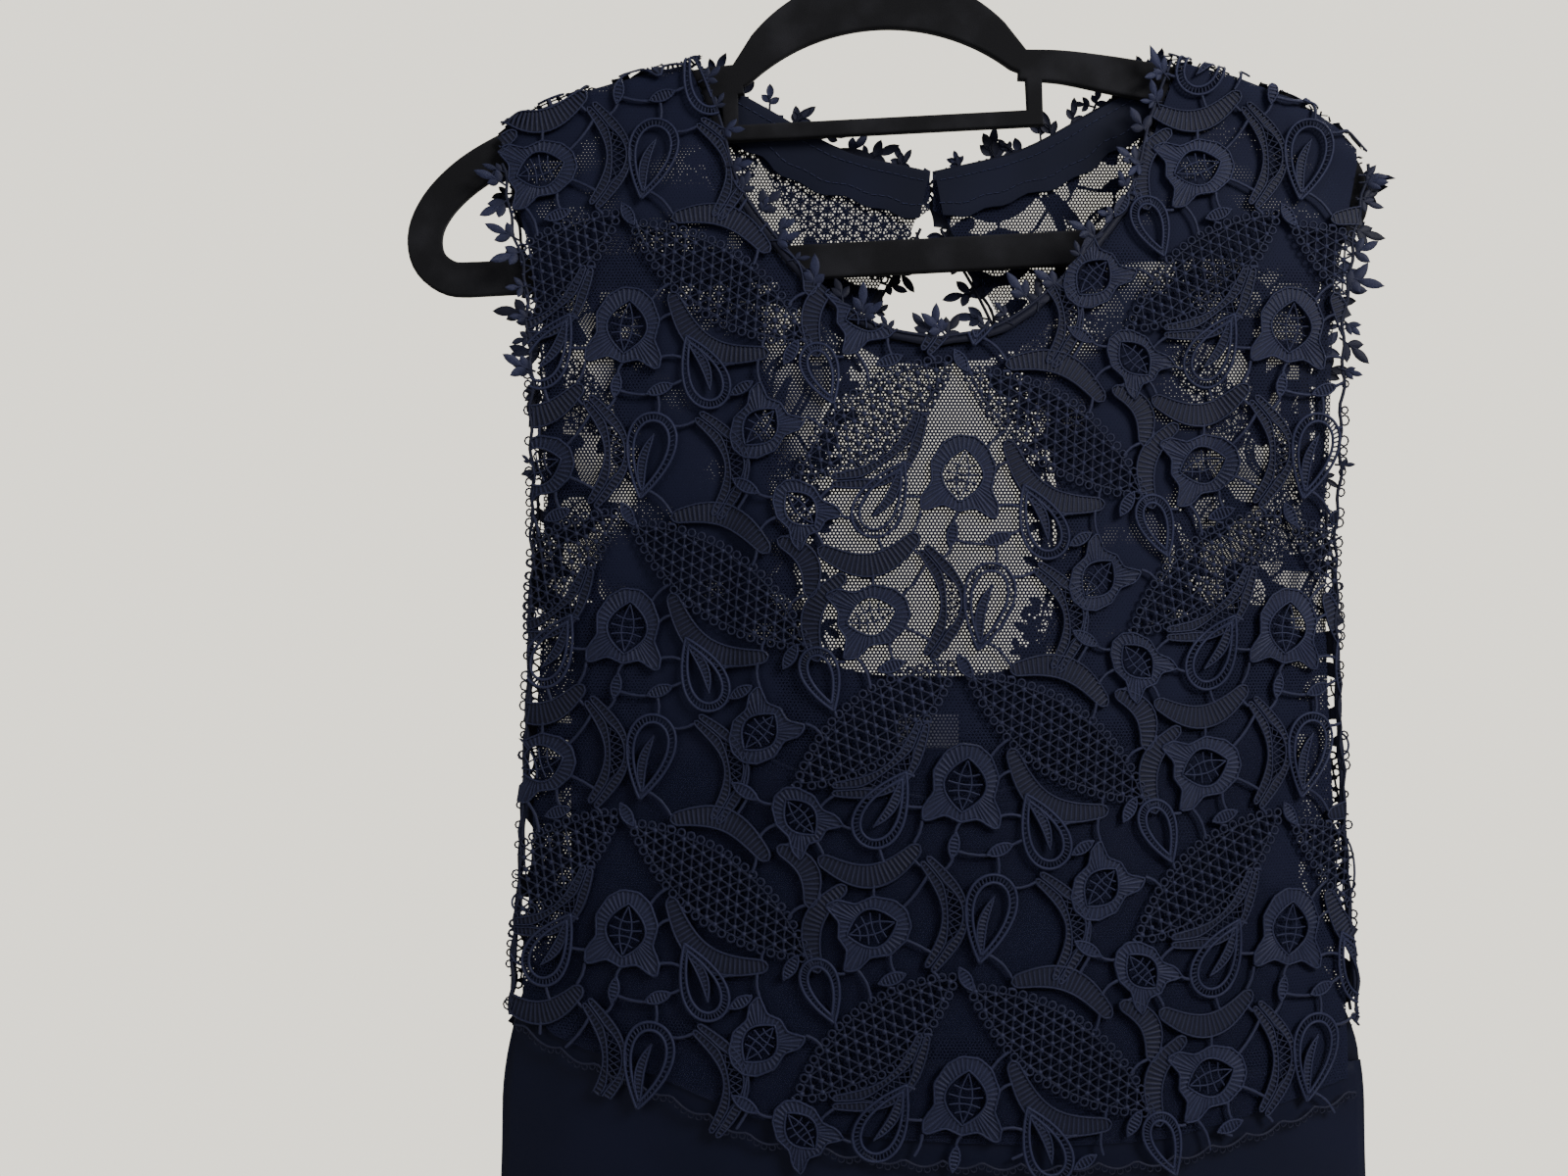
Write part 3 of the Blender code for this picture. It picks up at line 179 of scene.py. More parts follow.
# %% Finishes
class Finish:
    """One material, with its Principled shader."""

    def __init__(self, name, **constants):
        self.material = bpy.data.materials.new(name)
        self.material.use_nodes = True
        self.tree = self.material.node_tree
        self.shader = self.tree.nodes["Principled BSDF"]
        for key, value in constants.items():
            self.shader.inputs[key.replace("_", " ").title().replace("Ior", "IOR")].default_value = value
        self.place = self.node("ShaderNodeTexCoord", output="Object")

    def put(self, socket, value):
        if isinstance(value, Value):
            self.tree.links.new(value.socket, socket)
        else:
            socket.default_value = value

    def node(self, kind, settings=None, inputs=None, output=0):
        made = self.tree.nodes.new(kind)
        for key, value in (settings or {}).items():
            setattr(made, key, value)
        for key, value in (inputs or {}).items():
            self.put(made.inputs[key], value)
        return Value(self, made.outputs[output])

    def feed(self, **values):
        for key, value in values.items():
            self.put(self.shader.inputs[key.replace("_", " ").title()], value)
        return self

    def part(self, axis):
        """One coordinate of the place, in millimetres."""
        split = self.node("ShaderNodeSeparateXYZ", {}, {0: self.place}, output=axis)
        return split * 1000.0

    def noise(self, size_mm, detail=2.0, stretch=(1, 1, 1)):
        """Soft noise about 0.5, with lumps of the given size."""
        scaled = self.node("ShaderNodeVectorMath", {"operation": "MULTIPLY"}, {0: self.place, 1: stretch})
        return self.node("ShaderNodeTexNoise", {},
                         {"Vector": scaled, "Scale": 1000.0 / size_mm, "Detail": detail})

    def mixed(self, factor, first, second):
        """A colour between two."""
        return self.node("ShaderNodeMix", {"data_type": "RGBA"}, {0: factor, 6: first, 7: second}, output=2)

    def bump(self, height, depth_mm, strength=1.0):
        return self.node("ShaderNodeBump", {},
                         {"Height": height, "Distance": depth_mm / 1000, "Strength": strength})


def srgb(red, green, blue):
    """A colour as a screen gives it, from 0 to 255, turned into the shader's own scale."""
    def linear(channel):
        return channel / 255 / 12.92 if channel < 10.3 else ((channel / 255 + 0.055) / 1.055) ** 2.4
    return linear(red), linear(green), linear(blue), 1


print("mid grey for the shader:", round(srgb(128, 128, 128)[0], 3))

# %% [markdown]
# ## The finishes
#
# The lace is made of embroidery thread: a deep navy, in patches that took the dye a little differently,
# with painted highlights along its strands. What lies low in it gets less light, so the height of each
# thread, which the mesh brings along as `lift`, paints shade onto the ground between the cords.

# %% Lace thread
def lace_finish():
    made = Finish("lace_thread", sheen_weight=0.015, sheen_roughness=0.4, specular_ior_level=0.07)
    made.shader.inputs["Sheen Tint"].default_value = srgb(150, 160, 215)
    patches = made.noise(38, 3.0)
    strands_and_glints = made.noise(0.55, 2.0, (1, 1, 1.6))
    lift = made.node("ShaderNodeAttribute", {"attribute_name": "lift"}, output="Fac").smooth(0.25, 1.5)
    colour = made.mixed(patches.smooth(0.35, 0.7), srgb(20, 22, 39), srgb(26, 28, 46))
    # Painted highlight: fine streaks of noise lighten the thread, as glints along it.
    colour = made.mixed(strands_and_glints.smooth(0.45, 0.75) * 0.5, colour, srgb(46, 49, 70))
    # Painted shade: the lower a point of the lace lies, the darker its colour.
    colour = made.mixed(lift, srgb(11, 12, 22), colour)
    return made.feed(base_color=colour, roughness=0.52 + 0.2 * (patches - 0.5),
                     normal=made.bump(strands_and_glints, 0.25, 0.7)).material


LACE = lace_finish()
print("lace thread, nodes:", len(LACE.node_tree.nodes))

# %% [markdown]
# The net is a mesh of small hexagons. Its threads could be modelled, but there are far too many of them.
# Here the finish works out how far each point lies from the nearest edge of its hexagon, and cuts the
# hole out by alpha. Where shade falls, in the bodice's folds, over the shoulders and beside and behind
# the keyhole, its holes close up and the net darkens: this is painted shade.

# %% Net
NET_PITCH = 1.6                                             # millimetres from hexagon to hexagon
NET_OPEN = 0.6                                              # what a hole lets through, between its fibres
NET_DRIFT = 60                                              # how far the outlines of the painted shade wander
NET_EDGE = (0.095, 0.175)                                   # where a hole begins and is open, in pitches
NET_CLOSE = 0.27                                            # how far the painted shade shuts a hole, in pitches
SHADE_SOFT_X, SHADE_SOFT_Z = 9, 12                            # how gradually the painted shade begins
NET_SHADED_PATCHES = {                                               # left, right, top, foot, how strongly shade is painted there
    FRONT: ((-230, -66, -60, -212, 1), (112, 270, -60, -212, 1), (-112, -44, -225, -430, 1),
            (92, 140, -225, -430, 1), (-230, 270, -60, -430, 0.3), (-38, 84, -235, -430, 0.5),
            (-230, -140, -400, -600, 0.6), (178, 270, -400, -600, 0.6)),
    BACK: ((-112, -40, -240, -430, 1), (88, 140, -240, -430, 1), (-230, 270, -60, -235, 0.35),
           (-230, -140, -400, -600, 0.5), (178, 270, -400, -600, 0.5))}


def net_finish(name, shaded_patches):
    made = Finish(name, roughness=0.75, specular_ior_level=0.05)
    half = math.sqrt(3) / 2
    x, z = made.part("X") * (1 / NET_PITCH), made.part("Z") * (1 / NET_PITCH)

    def cell(shift_x, shift_z):
        """The place in its hexagon, for one of the two sets of rows, and how far the middle is."""
        gx = (x + shift_x).math("WRAP", 0.5, -0.5)
        gz = (z + shift_z).math("WRAP", half, -half)
        return gx, gz, gx * gx + gz * gz

    ax, az, a_far = cell(0.0, 0.0)
    bx, bz, b_far = cell(0.5, half)
    pick = a_far.math("LESS_THAN", b_far)
    gx = (ax * pick + bx * (1 - pick)).math("ABSOLUTE")
    gz = (az * pick + bz * (1 - pick)).math("ABSOLUTE")
    edge = 0.5 - (gx * 0.5 + gz * half).math("MAXIMUM", gx)
    drift = made.noise(42, 2.0) * NET_DRIFT - 0.5 * NET_DRIFT
    across, up = made.part("X") + drift, made.part("Z") + drift
    close = 0.0
    # Painted shade: in each patch the net's holes close, so the net is darker there.
    for left, right, top, foot, share in shaded_patches:
        from_left = across.smooth(left - SHADE_SOFT_X, left + SHADE_SOFT_X)
        from_right = across.smooth(right - SHADE_SOFT_X, right + SHADE_SOFT_X)
        from_foot = up.smooth(foot - SHADE_SOFT_Z, foot + SHADE_SOFT_Z)
        from_top = up.smooth(top - SHADE_SOFT_Z, top + SHADE_SOFT_Z)
        here = from_left * (1 - from_right) * from_foot * (1 - from_top)
        close = (here * share).math("MAXIMUM", close)
    hole = (edge - close * NET_CLOSE).smooth(*NET_EDGE)
    return made.feed(base_color=srgb(12, 14, 29), alpha=1 - hole * NET_OPEN).material


NET = {FRONT: net_finish("net_mesh_front", NET_SHADED_PATCHES[FRONT]),
       BACK: net_finish("net_mesh_back", NET_SHADED_PATCHES[BACK])}
print("net, nodes:", [len(finish.node_tree.nodes) for finish in NET.values()])


# %% [markdown]
# The other cloths are woven. Warp and weft are two sines that cross, and slow noise changes the shade as
# wear and light do. The skirt's crepe is the coarsest and the least matt of them.

# %% Woven cloths and thread
def woven_finish(name, dark, light, rough, weave_mm, weave_depth, sheen, gloss=0.05):
    """A plain or twilled cloth: a fine weave, and slow changes of shade."""
    made = Finish(name, sheen_weight=sheen, sheen_roughness=0.45, specular_ior_level=gloss)
    made.shader.inputs["Sheen Tint"].default_value = srgb(140, 150, 200)
    x, z = made.part("X"), made.part("Z")
    turn = 2 * math.pi / weave_mm
    warp = ((x + z * 0.35) * turn).math("SINE")
    weft = ((z - x * 0.2) * turn).math("SINE")
    cloudy = made.noise(60, 2.0)
    grain = made.noise(0.9, 2.0)
    weave = warp * weft * 0.5 + grain
    colour = made.mixed(cloudy.smooth(0.3, 0.72), dark, light)
    return made.feed(base_color=colour, roughness=rough + 0.12 * (grain - 0.5),
                     normal=made.bump(weave, weave_depth, 0.6)).material


LINING = woven_finish("lining_satin", srgb(7, 9, 21), srgb(9, 12, 26), 0.6, 0.5, 0.05, 0.004)
CREPE = woven_finish("skirt_crepe", srgb(6, 8, 22), srgb(8, 10, 26), 0.52, 0.7, 0.09, 0.01, gloss=0.06)
BINDING = woven_finish("binding_cloth", srgb(4, 4, 8), srgb(8, 8, 14), 0.6, 0.5, 0.06, 0.005)
FACING = woven_finish("facing_cloth", srgb(10, 12, 23), srgb(14, 16, 30), 0.6, 0.5, 0.06, 0.006)
LABEL = woven_finish("label_weave", srgb(196, 195, 200), srgb(210, 210, 215), 0.7, 0.6, 0.06, 0.02)


def thread_finish():
    made = Finish("sewing_thread", specular_ior_level=0.15)
    twist = made.noise(0.4, 2.0)
    colour = made.mixed(twist.smooth(0.35, 0.7), srgb(12, 15, 30), srgb(30, 34, 60))
    return made.feed(base_color=colour, roughness=0.5 + 0.2 * (twist - 0.5),
                     normal=made.bump(twist, 0.1)).material


THREAD = thread_finish()
print("cloth finishes:", len(bpy.data.materials))

# %% [markdown]
# The hanger is flocked, with short upright fibres that drink nearly all the light and shine a little at
# the edges. Its hook is bent from plated wire.


# %% Hanger finishes
def flock_finish():
    made = Finish("hanger_flock", sheen_weight=0.05, sheen_roughness=0.3, specular_ior_level=0.08)
    made.shader.inputs["Sheen Tint"].default_value = srgb(150, 150, 160)
    fibres, rubbed = made.noise(0.35, 3.0), made.noise(26, 3.0)
    colour = made.mixed(rubbed.smooth(0.4, 0.75), srgb(12, 12, 14), srgb(22, 22, 25))
    return made.feed(base_color=colour, roughness=0.93 + 0.1 * (fibres - 0.5),
                     normal=made.bump(fibres, 0.22, 0.9)).material


def steel_finish():
    made = Finish("polished_steel", metallic=1.0)
    smears = made.noise(9, 3.0)
    colour = made.mixed(smears, srgb(196, 196, 199), srgb(222, 222, 224))
    return made.feed(base_color=colour, roughness=0.16 + 0.16 * smears).material


FLOCK, STEEL = flock_finish(), steel_finish()
print("finishes:", len(bpy.data.materials))


# %% [markdown]
# The gown hangs a few centimetres clear of a plain pale floor, painted and a little worn.

# %% The floor
FLOOR_Z = -1.64
FLOOR_CORNERS = ((-3, -3), (3, -3), (3, 2.2), (-3, 2.2))


def floor_finish():
    made = Finish("floor_paint", specular_ior_level=0.1)
    worn = made.noise(140, 3.0)
    colour = made.mixed(worn.smooth(0.3, 0.7), srgb(212, 209, 204), srgb(224, 221, 215))
    return made.feed(base_color=colour, roughness=0.85 + 0.2 * (worn - 0.5)).material


floor_mesh = bpy.data.meshes.new("floor")
floor_mesh.from_pydata([(x, y, FLOOR_Z) for x, y in FLOOR_CORNERS], [], [(0, 1, 2, 3)])
floor_mesh.materials.append(floor_finish())
floor = bpy.data.objects.new("floor", floor_mesh)
bpy.context.scene.collection.objects.link(floor)

# %% [markdown]
# ## The shape of the hanging gown
#
# Every cloth is drawn flat, as seen from the front, in millimetres, and then laid on the front or the
# back of the hanging gown. The section between the side seams is a lens, which is what a gown takes on
# when nobody is in it. At the shoulders the cloth bends over the hanger's arms. These are the sizes of
# the model itself, so the new cloth lies where the solids are.

# %% Sizes of the gown
SEAM_GAP, CLOTH_THICK, LAYER_GAP, LAYER_SLACK = 0.3, 1.0, 0.3, 0.85
HANGER_THICK, HANGER_TILT, HOOK_DROP = 5.0, math.radians(3.0), 75.0
FOLD_R = 0.5 * HANGER_THICK + 4 * LAYER_GAP + 2.3 * CLOTH_THICK
ARM_REST, CLEAR_OF_ARM_X, FREE_SLOPE = 4.4, 221.0, 1.1
LENS_POWER, LOW_EDGE_IN, GOWN_SHIFT = 2.6, 8.5, 31.0
NECK_HALF, TIP_HALF = 108.0, 199.0
ARMHOLE_FOOT_Z, WAIST_Z, HEM_Z = -352.0, -556.0, -1580.0
BACK_NECK_Z, SLIT_WIDTH = -164.0, 1.6
WAIST_SLOPE = 0.055


def table(names, rows):
    """Rows of a table as columns by name."""
    return dict(zip(names.split(), np.array(rows, float).T))


# Half the width, and the depth of the front, of the back and at the side seam, at each height.
BODY = table("z half front back edge", [
    (-1580, 300, 76, 62, .15), (-1100, 252, 61, 50, .15), (-800, 222, 50, 41, .15), (-640, 209, 44, 36, .15),
    (-570, 208, 41, 33, .15), (-541, 196, 39, 32, .15), (-503, 192, 38, 31, .15), (-464, 190.5, 37, 30, .15),
    (-405, 187.5, 36, 29, .15), (-338, 186, 34, 27, .15), (-310, 186, 31, 24, 12), (-250, 186, 22, 17, 16),
    (-205, 190, 16, 13, 12), (-150, 198, 10, 9, 6.4), (-100, 200, 5.4, 5.4, 5.4)])
# A fold runs from its top to its foot, and pushes the cloth in by its depth, or out if that is below zero.
FOLDS = table("face x_top x_foot z_top z_foot wide depth", [
    (FRONT, -112, -116, -215, -560, 44, 6), (FRONT, 104, 98, -205, -520, 44, 5.5),
    (FRONT, -20, -8, -330, -610, 60, -3), (BACK, -120, -110, -260, -600, 42, 5),
    (BACK, 112, 104, -260, -600, 42, 5), (FRONT, -120, -205, -640, -1700, 46, 13),
    (FRONT, -42, -82, -700, -1700, 42, 11), (FRONT, 36, 48, -660, -1700, 44, 13),
    (FRONT, 112, 178, -690, -1700, 46, 12), (BACK, -112, -186, -660, -1700, 46, 11),
    (BACK, -30, -62, -690, -1700, 44, 12), (BACK, 50, 70, -650, -1700, 44, 11),
    (BACK, 124, 198, -700, -1700, 46, 12)])
# The middle line of the hanger's arm, from the arch out and round its end, and how tall the arm is.
ARM = table("x drop wide", [
    (64, 46, 14), (84, 48, 15), (107, 53, 17), (132, 59, 17.5), (160, 68, 17.5), (186, 79.5, 17),
    (202, 91, 16.5), (211.5, 103, 16), (214.5, 114, 16), (212, 124, 16), (203, 131, 16), (190, 132, 16)])
FRONT_NECK = ((NECK_HALF, -118), (98, -145), (89, -176), (71, -202), (51, -224), (27, -241), (0, -247))
BACK_NECK = ((NECK_HALF, -118), (78, -135), (42, -154), (SLIT_WIDTH, BACK_NECK_Z))
ARMHOLE = ((TIP_HALF, -165), (194, -190), (188, -215), (184.5, -250), (184, -300), (185.5, ARMHOLE_FOOT_Z))
KEYHOLE = ((SLIT_WIDTH, -182), (8, -197), (24, -224), (42, -262), (55, -302), (59, -338), (55, -372),
           (42, -397), (20, -403), (0, -404))
LACE_HEM = table("x z", [(-196, -556), (-172, -567), (-126, -581), (-83, -599), (-20, -608), (50, -611),
                         (98, -610), (145, -600), (192, -588)])
print("width under the arms:", 2 * BODY["half"][BODY["z"] == -338][0], "mm")

# %% [markdown]
# Small creases are added to the model's large folds: soft troughs and ridges. On the
# bodice they run down from the shoulders and slant in from the armholes, because the cloth hangs from
# two narrow arms. On the skirt they start under the lace and lean outwards.

# %% Creases
CREASES = table("face x0 z0 x1 z1 wide depth", [
    (FRONT, -150, -190, -128, -420, 9, 1.8), (FRONT, -96, -200, -92, -520, 8, 1.9),
    (FRONT, -64, -250, -74, -480, 10, 1.3), (FRONT, 66, -240, 84, -500, 9, 1.6),
    (FRONT, 128, -190, 118, -470, 8, 1.7), (FRONT, 160, -230, 150, -520, 9, 1.6),
    (FRONT, 20, -300, 12, -560, 12, -1.1), (FRONT, -180, -330, -120, -400, 7, 1.2),
    (FRONT, 176, -340, 128, -420, 7, 1.1),
    (BACK, -150, -200, -136, -520, 9, 1.6), (BACK, -88, -300, -96, -560, 10, 1.4),
    (BACK, 92, -260, 88, -540, 9, 1.5), (BACK, 150, -220, 140, -500, 8, 1.5),
    (BACK, 0, -430, 6, -570, 12, -1.0),
    (FRONT, -144, -612, -94, -632, 5, 1.6), (FRONT, -150, -640, -60, -690, 9, 1.2),
    (FRONT, 150, -600, 176, -820, 10, 1.8), (FRONT, -170, -640, -196, -980, 11, 2.2),
    (FRONT, 70, -640, 92, -1200, 14, 2.4), (FRONT, -6, -700, -14, -1300, 14, 2.2),
    (FRONT, 130, -900, 160, -1500, 13, 2.6), (FRONT, -100, -900, -140, -1560, 13, 2.6),
    (FRONT, 210, -900, 250, -1500, 12, 2.2),
    (BACK, -150, -610, -176, -900, 10, 1.8), (BACK, 10, -640, 16, -1250, 14, 2.2),
    (BACK, 150, -640, 190, -1250, 13, 2.4), (BACK, -80, -760, -120, -1500, 13, 2.6),
    (BACK, 96, -900, 120, -1560, 13, 2.4), (BACK, -200, -900, -240, -1560, 12, 2.2)])
print("creases in front and behind:", *((CREASES["face"] == face).sum() for face in (FRONT, BACK)))

# %% [markdown]
# The shoulders lie over the hanger's arms. Their height comes from the arm's top edge, which is worked
# out from the same strips that the hanger is made of, hung by its hook and tilted.


# %% Over the hanger's arms
def ease(t):
    t = np.clip(t, 0, 1)
    return t * t * (3 - 2 * t)


def body(key, z):
    """A column of the body's table at height z, softened over its rows."""
    return sum(np.interp(z + d, BODY["z"], BODY[key]) for d in np.linspace(-24, 24, 7)) / 7


def side_line(x, z, widths):
    """The two sides of a strip of the given widths along a line."""
    dx, dz = np.gradient(x), np.gradient(z)
    k = 0.5 * widths / np.hypot(dx, dz)
    return (x - dz * k, z + dx * k), (x + dz * k, z - dx * k)


def hung(x, drop):
    """A point of the hanger's own drawing, hung and tilted."""
    z = -np.asarray(drop, float) - HOOK_DROP
    c, s = math.cos(HANGER_TILT), math.sin(HANGER_TILT)
    return x * c - z * s, x * s + z * c


def arm_top():
    """The top edge of both arms, left to right, as the model has it."""
    x, z, w = ARM["x"], -ARM["drop"] - HOOK_DROP, ARM["wide"]
    left = []
    for i in range(9):
        a, b = max(i - 1, 0), min(i + 1, len(x) - 1)
        k = 0.5 * w[i] / math.hypot(x[b] - x[a], z[b] - z[a])
        left.append((x[i] - (z[b] - z[a]) * k, -HOOK_DROP - (z[i] + (x[b] - x[a]) * k)))
    half = np.array(left)
    both = np.vstack([half[::-1] * (-1, 1), half])
    return np.array(hung(both[:, 0], both[:, 1])).T


ARM_TOP = arm_top()
ARM_X = np.linspace(ARM_TOP[0, 0], ARM_TOP[-1, 0], 600)
ARM_Z = np.interp(ARM_X, ARM_TOP[:, 0], ARM_TOP[:, 1])


def over_arm(x):
    """How high a cloth of some thickness rests on the arm."""
    across = np.abs(ARM_X - max(x, ARM_X[0]))
    near = across < ARM_REST
    return float(np.max(ARM_Z[near] + np.sqrt(ARM_REST ** 2 - across[near] ** 2)))


SHOULDER_X = np.arange(-260, CLEAR_OF_ARM_X + 0.5, 1.0)
SHOULDER_Z = np.array([over_arm(x) for x in SHOULDER_X])


def shoulder_z(x):
    """Height of the lace's inner face where it goes over the arm."""
    return np.interp(x, SHOULDER_X, SHOULDER_Z) - FREE_SLOPE * np.maximum(x - CLEAR_OF_ARM_X, 0)


def seam_z(x):
    """Height of the shoulder seam in the flat drawing, where the bend over the arm is rolled out."""
    return shoulder_z(x + GOWN_SHIFT) + (math.pi / 2 - 1) * FOLD_R


print("shoulder seam:", seam_z(np.array([-NECK_HALF, NECK_HALF, TIP_HALF])).round(1))

# %% [markdown]
# Two functions carry the whole gown. `surface` lays a point of the flat drawing on the lens between the
# side seams, folds and all, and bends it over the shoulder. `laid` then lifts it off, square to the
# cloth. With them a sheet, a cord or a stitch is drawn flat and still follows every fold.


# %% From the flat drawing to the gown
FADE_DOWN, FADE_UP = 120, 110           # how far a fold takes to grow and to run out, in millimetres
TURN_DROP = 60                          # below the shoulder's bend, how far the cloth takes to swing out


def fold_depth(face, x, z):
    """How far the large folds and the small creases push the cloth in."""
    total = np.zeros_like(x)
    for i in np.flatnonzero(FOLDS["face"] == face):
        top, foot = FOLDS["z_top"][i], FOLDS["z_foot"][i]
        t = np.clip((top - z) / (top - foot), 0, 1)
        middle = FOLDS["x_top"][i] + (FOLDS["x_foot"][i] - FOLDS["x_top"][i]) * t
        fade = ease((top - z) / FADE_DOWN) * ease((z - foot) / FADE_UP)
        total += FOLDS["depth"][i] * fade * np.exp(-((x - middle) / FOLDS["wide"][i]) ** 2)
    for i in np.flatnonzero(CREASES["face"] == face):
        ax, az = CREASES["x0"][i], CREASES["z0"][i]
        bx, bz = CREASES["x1"][i] - ax, CREASES["z1"][i] - az
        t = ((x - ax) * bx + (z - az) * bz) / (bx * bx + bz * bz)
        away = np.hypot(x - ax - bx * np.clip(t, 0, 1), z - az - bz * np.clip(t, 0, 1))
        wide = CREASES["wide"][i]
        total += CREASES["depth"][i] * np.exp(-(away / wide) ** 2) * ease(1.6 - 1.6 * np.abs(2 * t - 1))
    return total


def surface(face, x, z):
    """Points of the gown's front or back, from their places (x, z) in the flat drawing."""
    top = shoulder_z(x + GOWN_SHIFT)
    run = top + (math.pi / 2 - 1) * FOLD_R - z
    u = np.minimum(1, np.abs(x) / body("half", z))
    edge, middle = body("edge", z), body("front" if face == FRONT else "back", z)
    depth = edge + (middle - edge) * (1 - u ** LENS_POWER) - fold_depth(face, x, z) * ease(3 * (1 - u))
    depth = FOLD_R + (depth - FOLD_R) * ease((run - FOLD_R * math.pi / 2) / TURN_DROP)
    turn = np.maximum(run / FOLD_R, 0.5 * SEAM_GAP / FOLD_R)
    bent = run < FOLD_R * math.pi / 2
    y = np.where(bent, FOLD_R * np.sin(turn), depth)
    return np.stack([x + GOWN_SHIFT, face * y, np.where(bent, top - FOLD_R * (1 - np.cos(turn)), z)], -1)


def laid(face, x, z, lift):
    """Points at a height above the surface, outwards."""
    x, z = np.asarray(x, float), np.asarray(z, float)
    out = np.cross(surface(face, x + 1, z) - surface(face, x - 1, z),
                   surface(face, x, z - 1) - surface(face, x, z + 1))
    away = (out[..., 1] * face < -1e-9) | ((np.abs(out[..., 1]) <= 1e-9) & (out[..., 2] < 0))
    size = np.linalg.norm(out, axis=-1, keepdims=True)
    unit = out * np.where(away, -1, 1)[..., None] / np.maximum(size, 1e-9)
    out = np.where(size > 1e-9, unit, (0.0, 0.0, 1.0))
    return surface(face, x, z) + out * np.asarray(lift)[..., None]


def layer(count, x, z):
    """How far inside the lace the outer face of an inner layer lies: 1 is the net, 2 the lining."""
    opened = ease((seam_z(x) - z - 12) / 30)
    return -count * (LAYER_GAP + LAYER_SLACK * opened) - (count - 1) * CLOTH_THICK


chest_z = np.array([-338.0])
chest = [surface(face, 0 * chest_z, chest_z)[0, 1] for face in (FRONT, BACK)]
print("chest, front to back:", np.ptp(chest).round(1), "mm")

# %% [markdown]
# ## The cut of the bodice
#
# The bodice is cut like a pattern on paper. Each edge is a smooth curve through a few points, moved into
# the cloth where a layer ends sooner than the lace does, and a panel joins its edges.


# %% Outlines
LACE_LOW_HALF = 195.0                   # the bodice is no wider than this at its lower edge


def through(points, step):
    """Points about one step apart on a smooth curve through the given ones."""
    p = np.array(points, float)
    p = np.vstack([2 * p[0] - p[1], p, 2 * p[-1] - p[-2]])
    line = []
    for a, b, c, d in zip(p, p[1:], p[2:], p[3:]):
        count = max(1, math.ceil(math.dist(b, c) / step))
        for t in np.arange(count) / count:
            line.append(0.5 * (2 * b + (c - a) * t + (2 * a - 5 * b + 4 * c - d) * t ** 2
                               + (3 * b - a - 3 * c + d) * t ** 3))
    return np.array(line + [p[-2]])


def inside(points, outline):
    """Which points lie inside the outline."""
    a, b = np.asarray(outline), np.roll(outline, -1, axis=0)
    hits = np.zeros(len(points), int)
    for (ax, ay), (bx, by) in zip(a, b):
        if ay != by:
            spans = (ay > points[:, 1]) != (by > points[:, 1])
            hits += spans & (points[:, 0] < ax + (bx - ax) * (points[:, 1] - ay) / (by - ay))
    return hits % 2 == 1


def neck_edge(neck, sign, inset, step):
    """Half a neckline, shoulder to middle, moved into the cloth."""
    line = through(neck, step)
    dx, dz = np.gradient(line[:, 0]), np.gradient(line[:, 1])
    k = inset / np.hypot(dx, dz)
    x, z = np.maximum(line[:, 0] - dz * k, 0), line[:, 1] + dx * k
    x[-1] = line[-1, 0]
    keep = z < seam_z(sign * x) - 1.0
    return np.stack([sign * x, z], 1)[keep]


def side_edge(sign, inset, step, foot_z):
    """One armhole and side seam, downwards."""
    line = through(ARMHOLE, step)
    low = np.arange(ARMHOLE_FOOT_Z - step, foot_z, -step)
    x = np.append(line[:, 0], np.minimum(body("half", low), LACE_LOW_HALF))
    z = np.append(line[:, 1], low)
    keep = z < seam_z(sign * x) - 1.0
    return np.stack([sign * (x - max(inset, 0.1)), z], 1)[keep]


def panel_outline(neck, inset, foot, step):
    """A whole bodice panel, clockwise from the middle of the neckline; foot runs left to right."""
    def half(sign, foot_z):
        xs = np.linspace(NECK_HALF + inset, TIP_HALF - inset, 40)
        seam = np.stack([sign * xs, seam_z(sign * xs)], 1)
        side = side_edge(sign, inset, step, foot_z)
        return np.vstack([neck_edge(neck, sign, inset, step)[::-1], seam, side])
    right, left = half(1, foot[-1][1]), half(-1, foot[0][1])
    end = [] if neck[-1][0] == 0 else [left[:1]]
    return np.vstack([right, foot[-2:0:-1], left[:0:-1], *end])


def hem_z(x):
    return np.interp(x, LACE_HEM["x"], LACE_HEM["z"])


def waist_z(x):
    """The skirt's top edge, which lies a little lower on the right."""
    return WAIST_Z - WAIST_SLOPE * (x + LACE_LOW_HALF)


def keyhole_outline(inset, step):
    """The keyhole with its slit up through the neckline."""
    slit = 0.5 * SLIT_WIDTH
    half = through(KEYHOLE, step)
    x = np.where(half[:, 0] > SLIT_WIDTH, np.maximum(half[:, 0] + inset, slit), slit)
    x[-1] = 0
    half = np.vstack([[(slit, BACK_NECK_Z + 8)], np.stack([x, half[:, 1]], 1)])
    return np.vstack([half, half[-2::-1] * (-1, 1)])


def through_edges(outline, step):
    """The outline with extra points, so that none are further apart than the step."""
    out = []
    for a, b in zip(outline, np.roll(outline, -1, axis=0)):
        count = max(1, math.ceil(math.dist(a, b) / step))
        out.append(a + (b - a) * (np.arange(count) / count)[:, None])
    return np.vstack(out)


print("points of the keyhole:", len(keyhole_outline(0.0, 5)))

# %% [markdown]
# ## Threads and cords
#
# A thread is a swept tube. `Sewing` collects tubes and strips: each corner has its place on the cloth and
# its height above it, so that a whole panel of lace becomes one mesh.


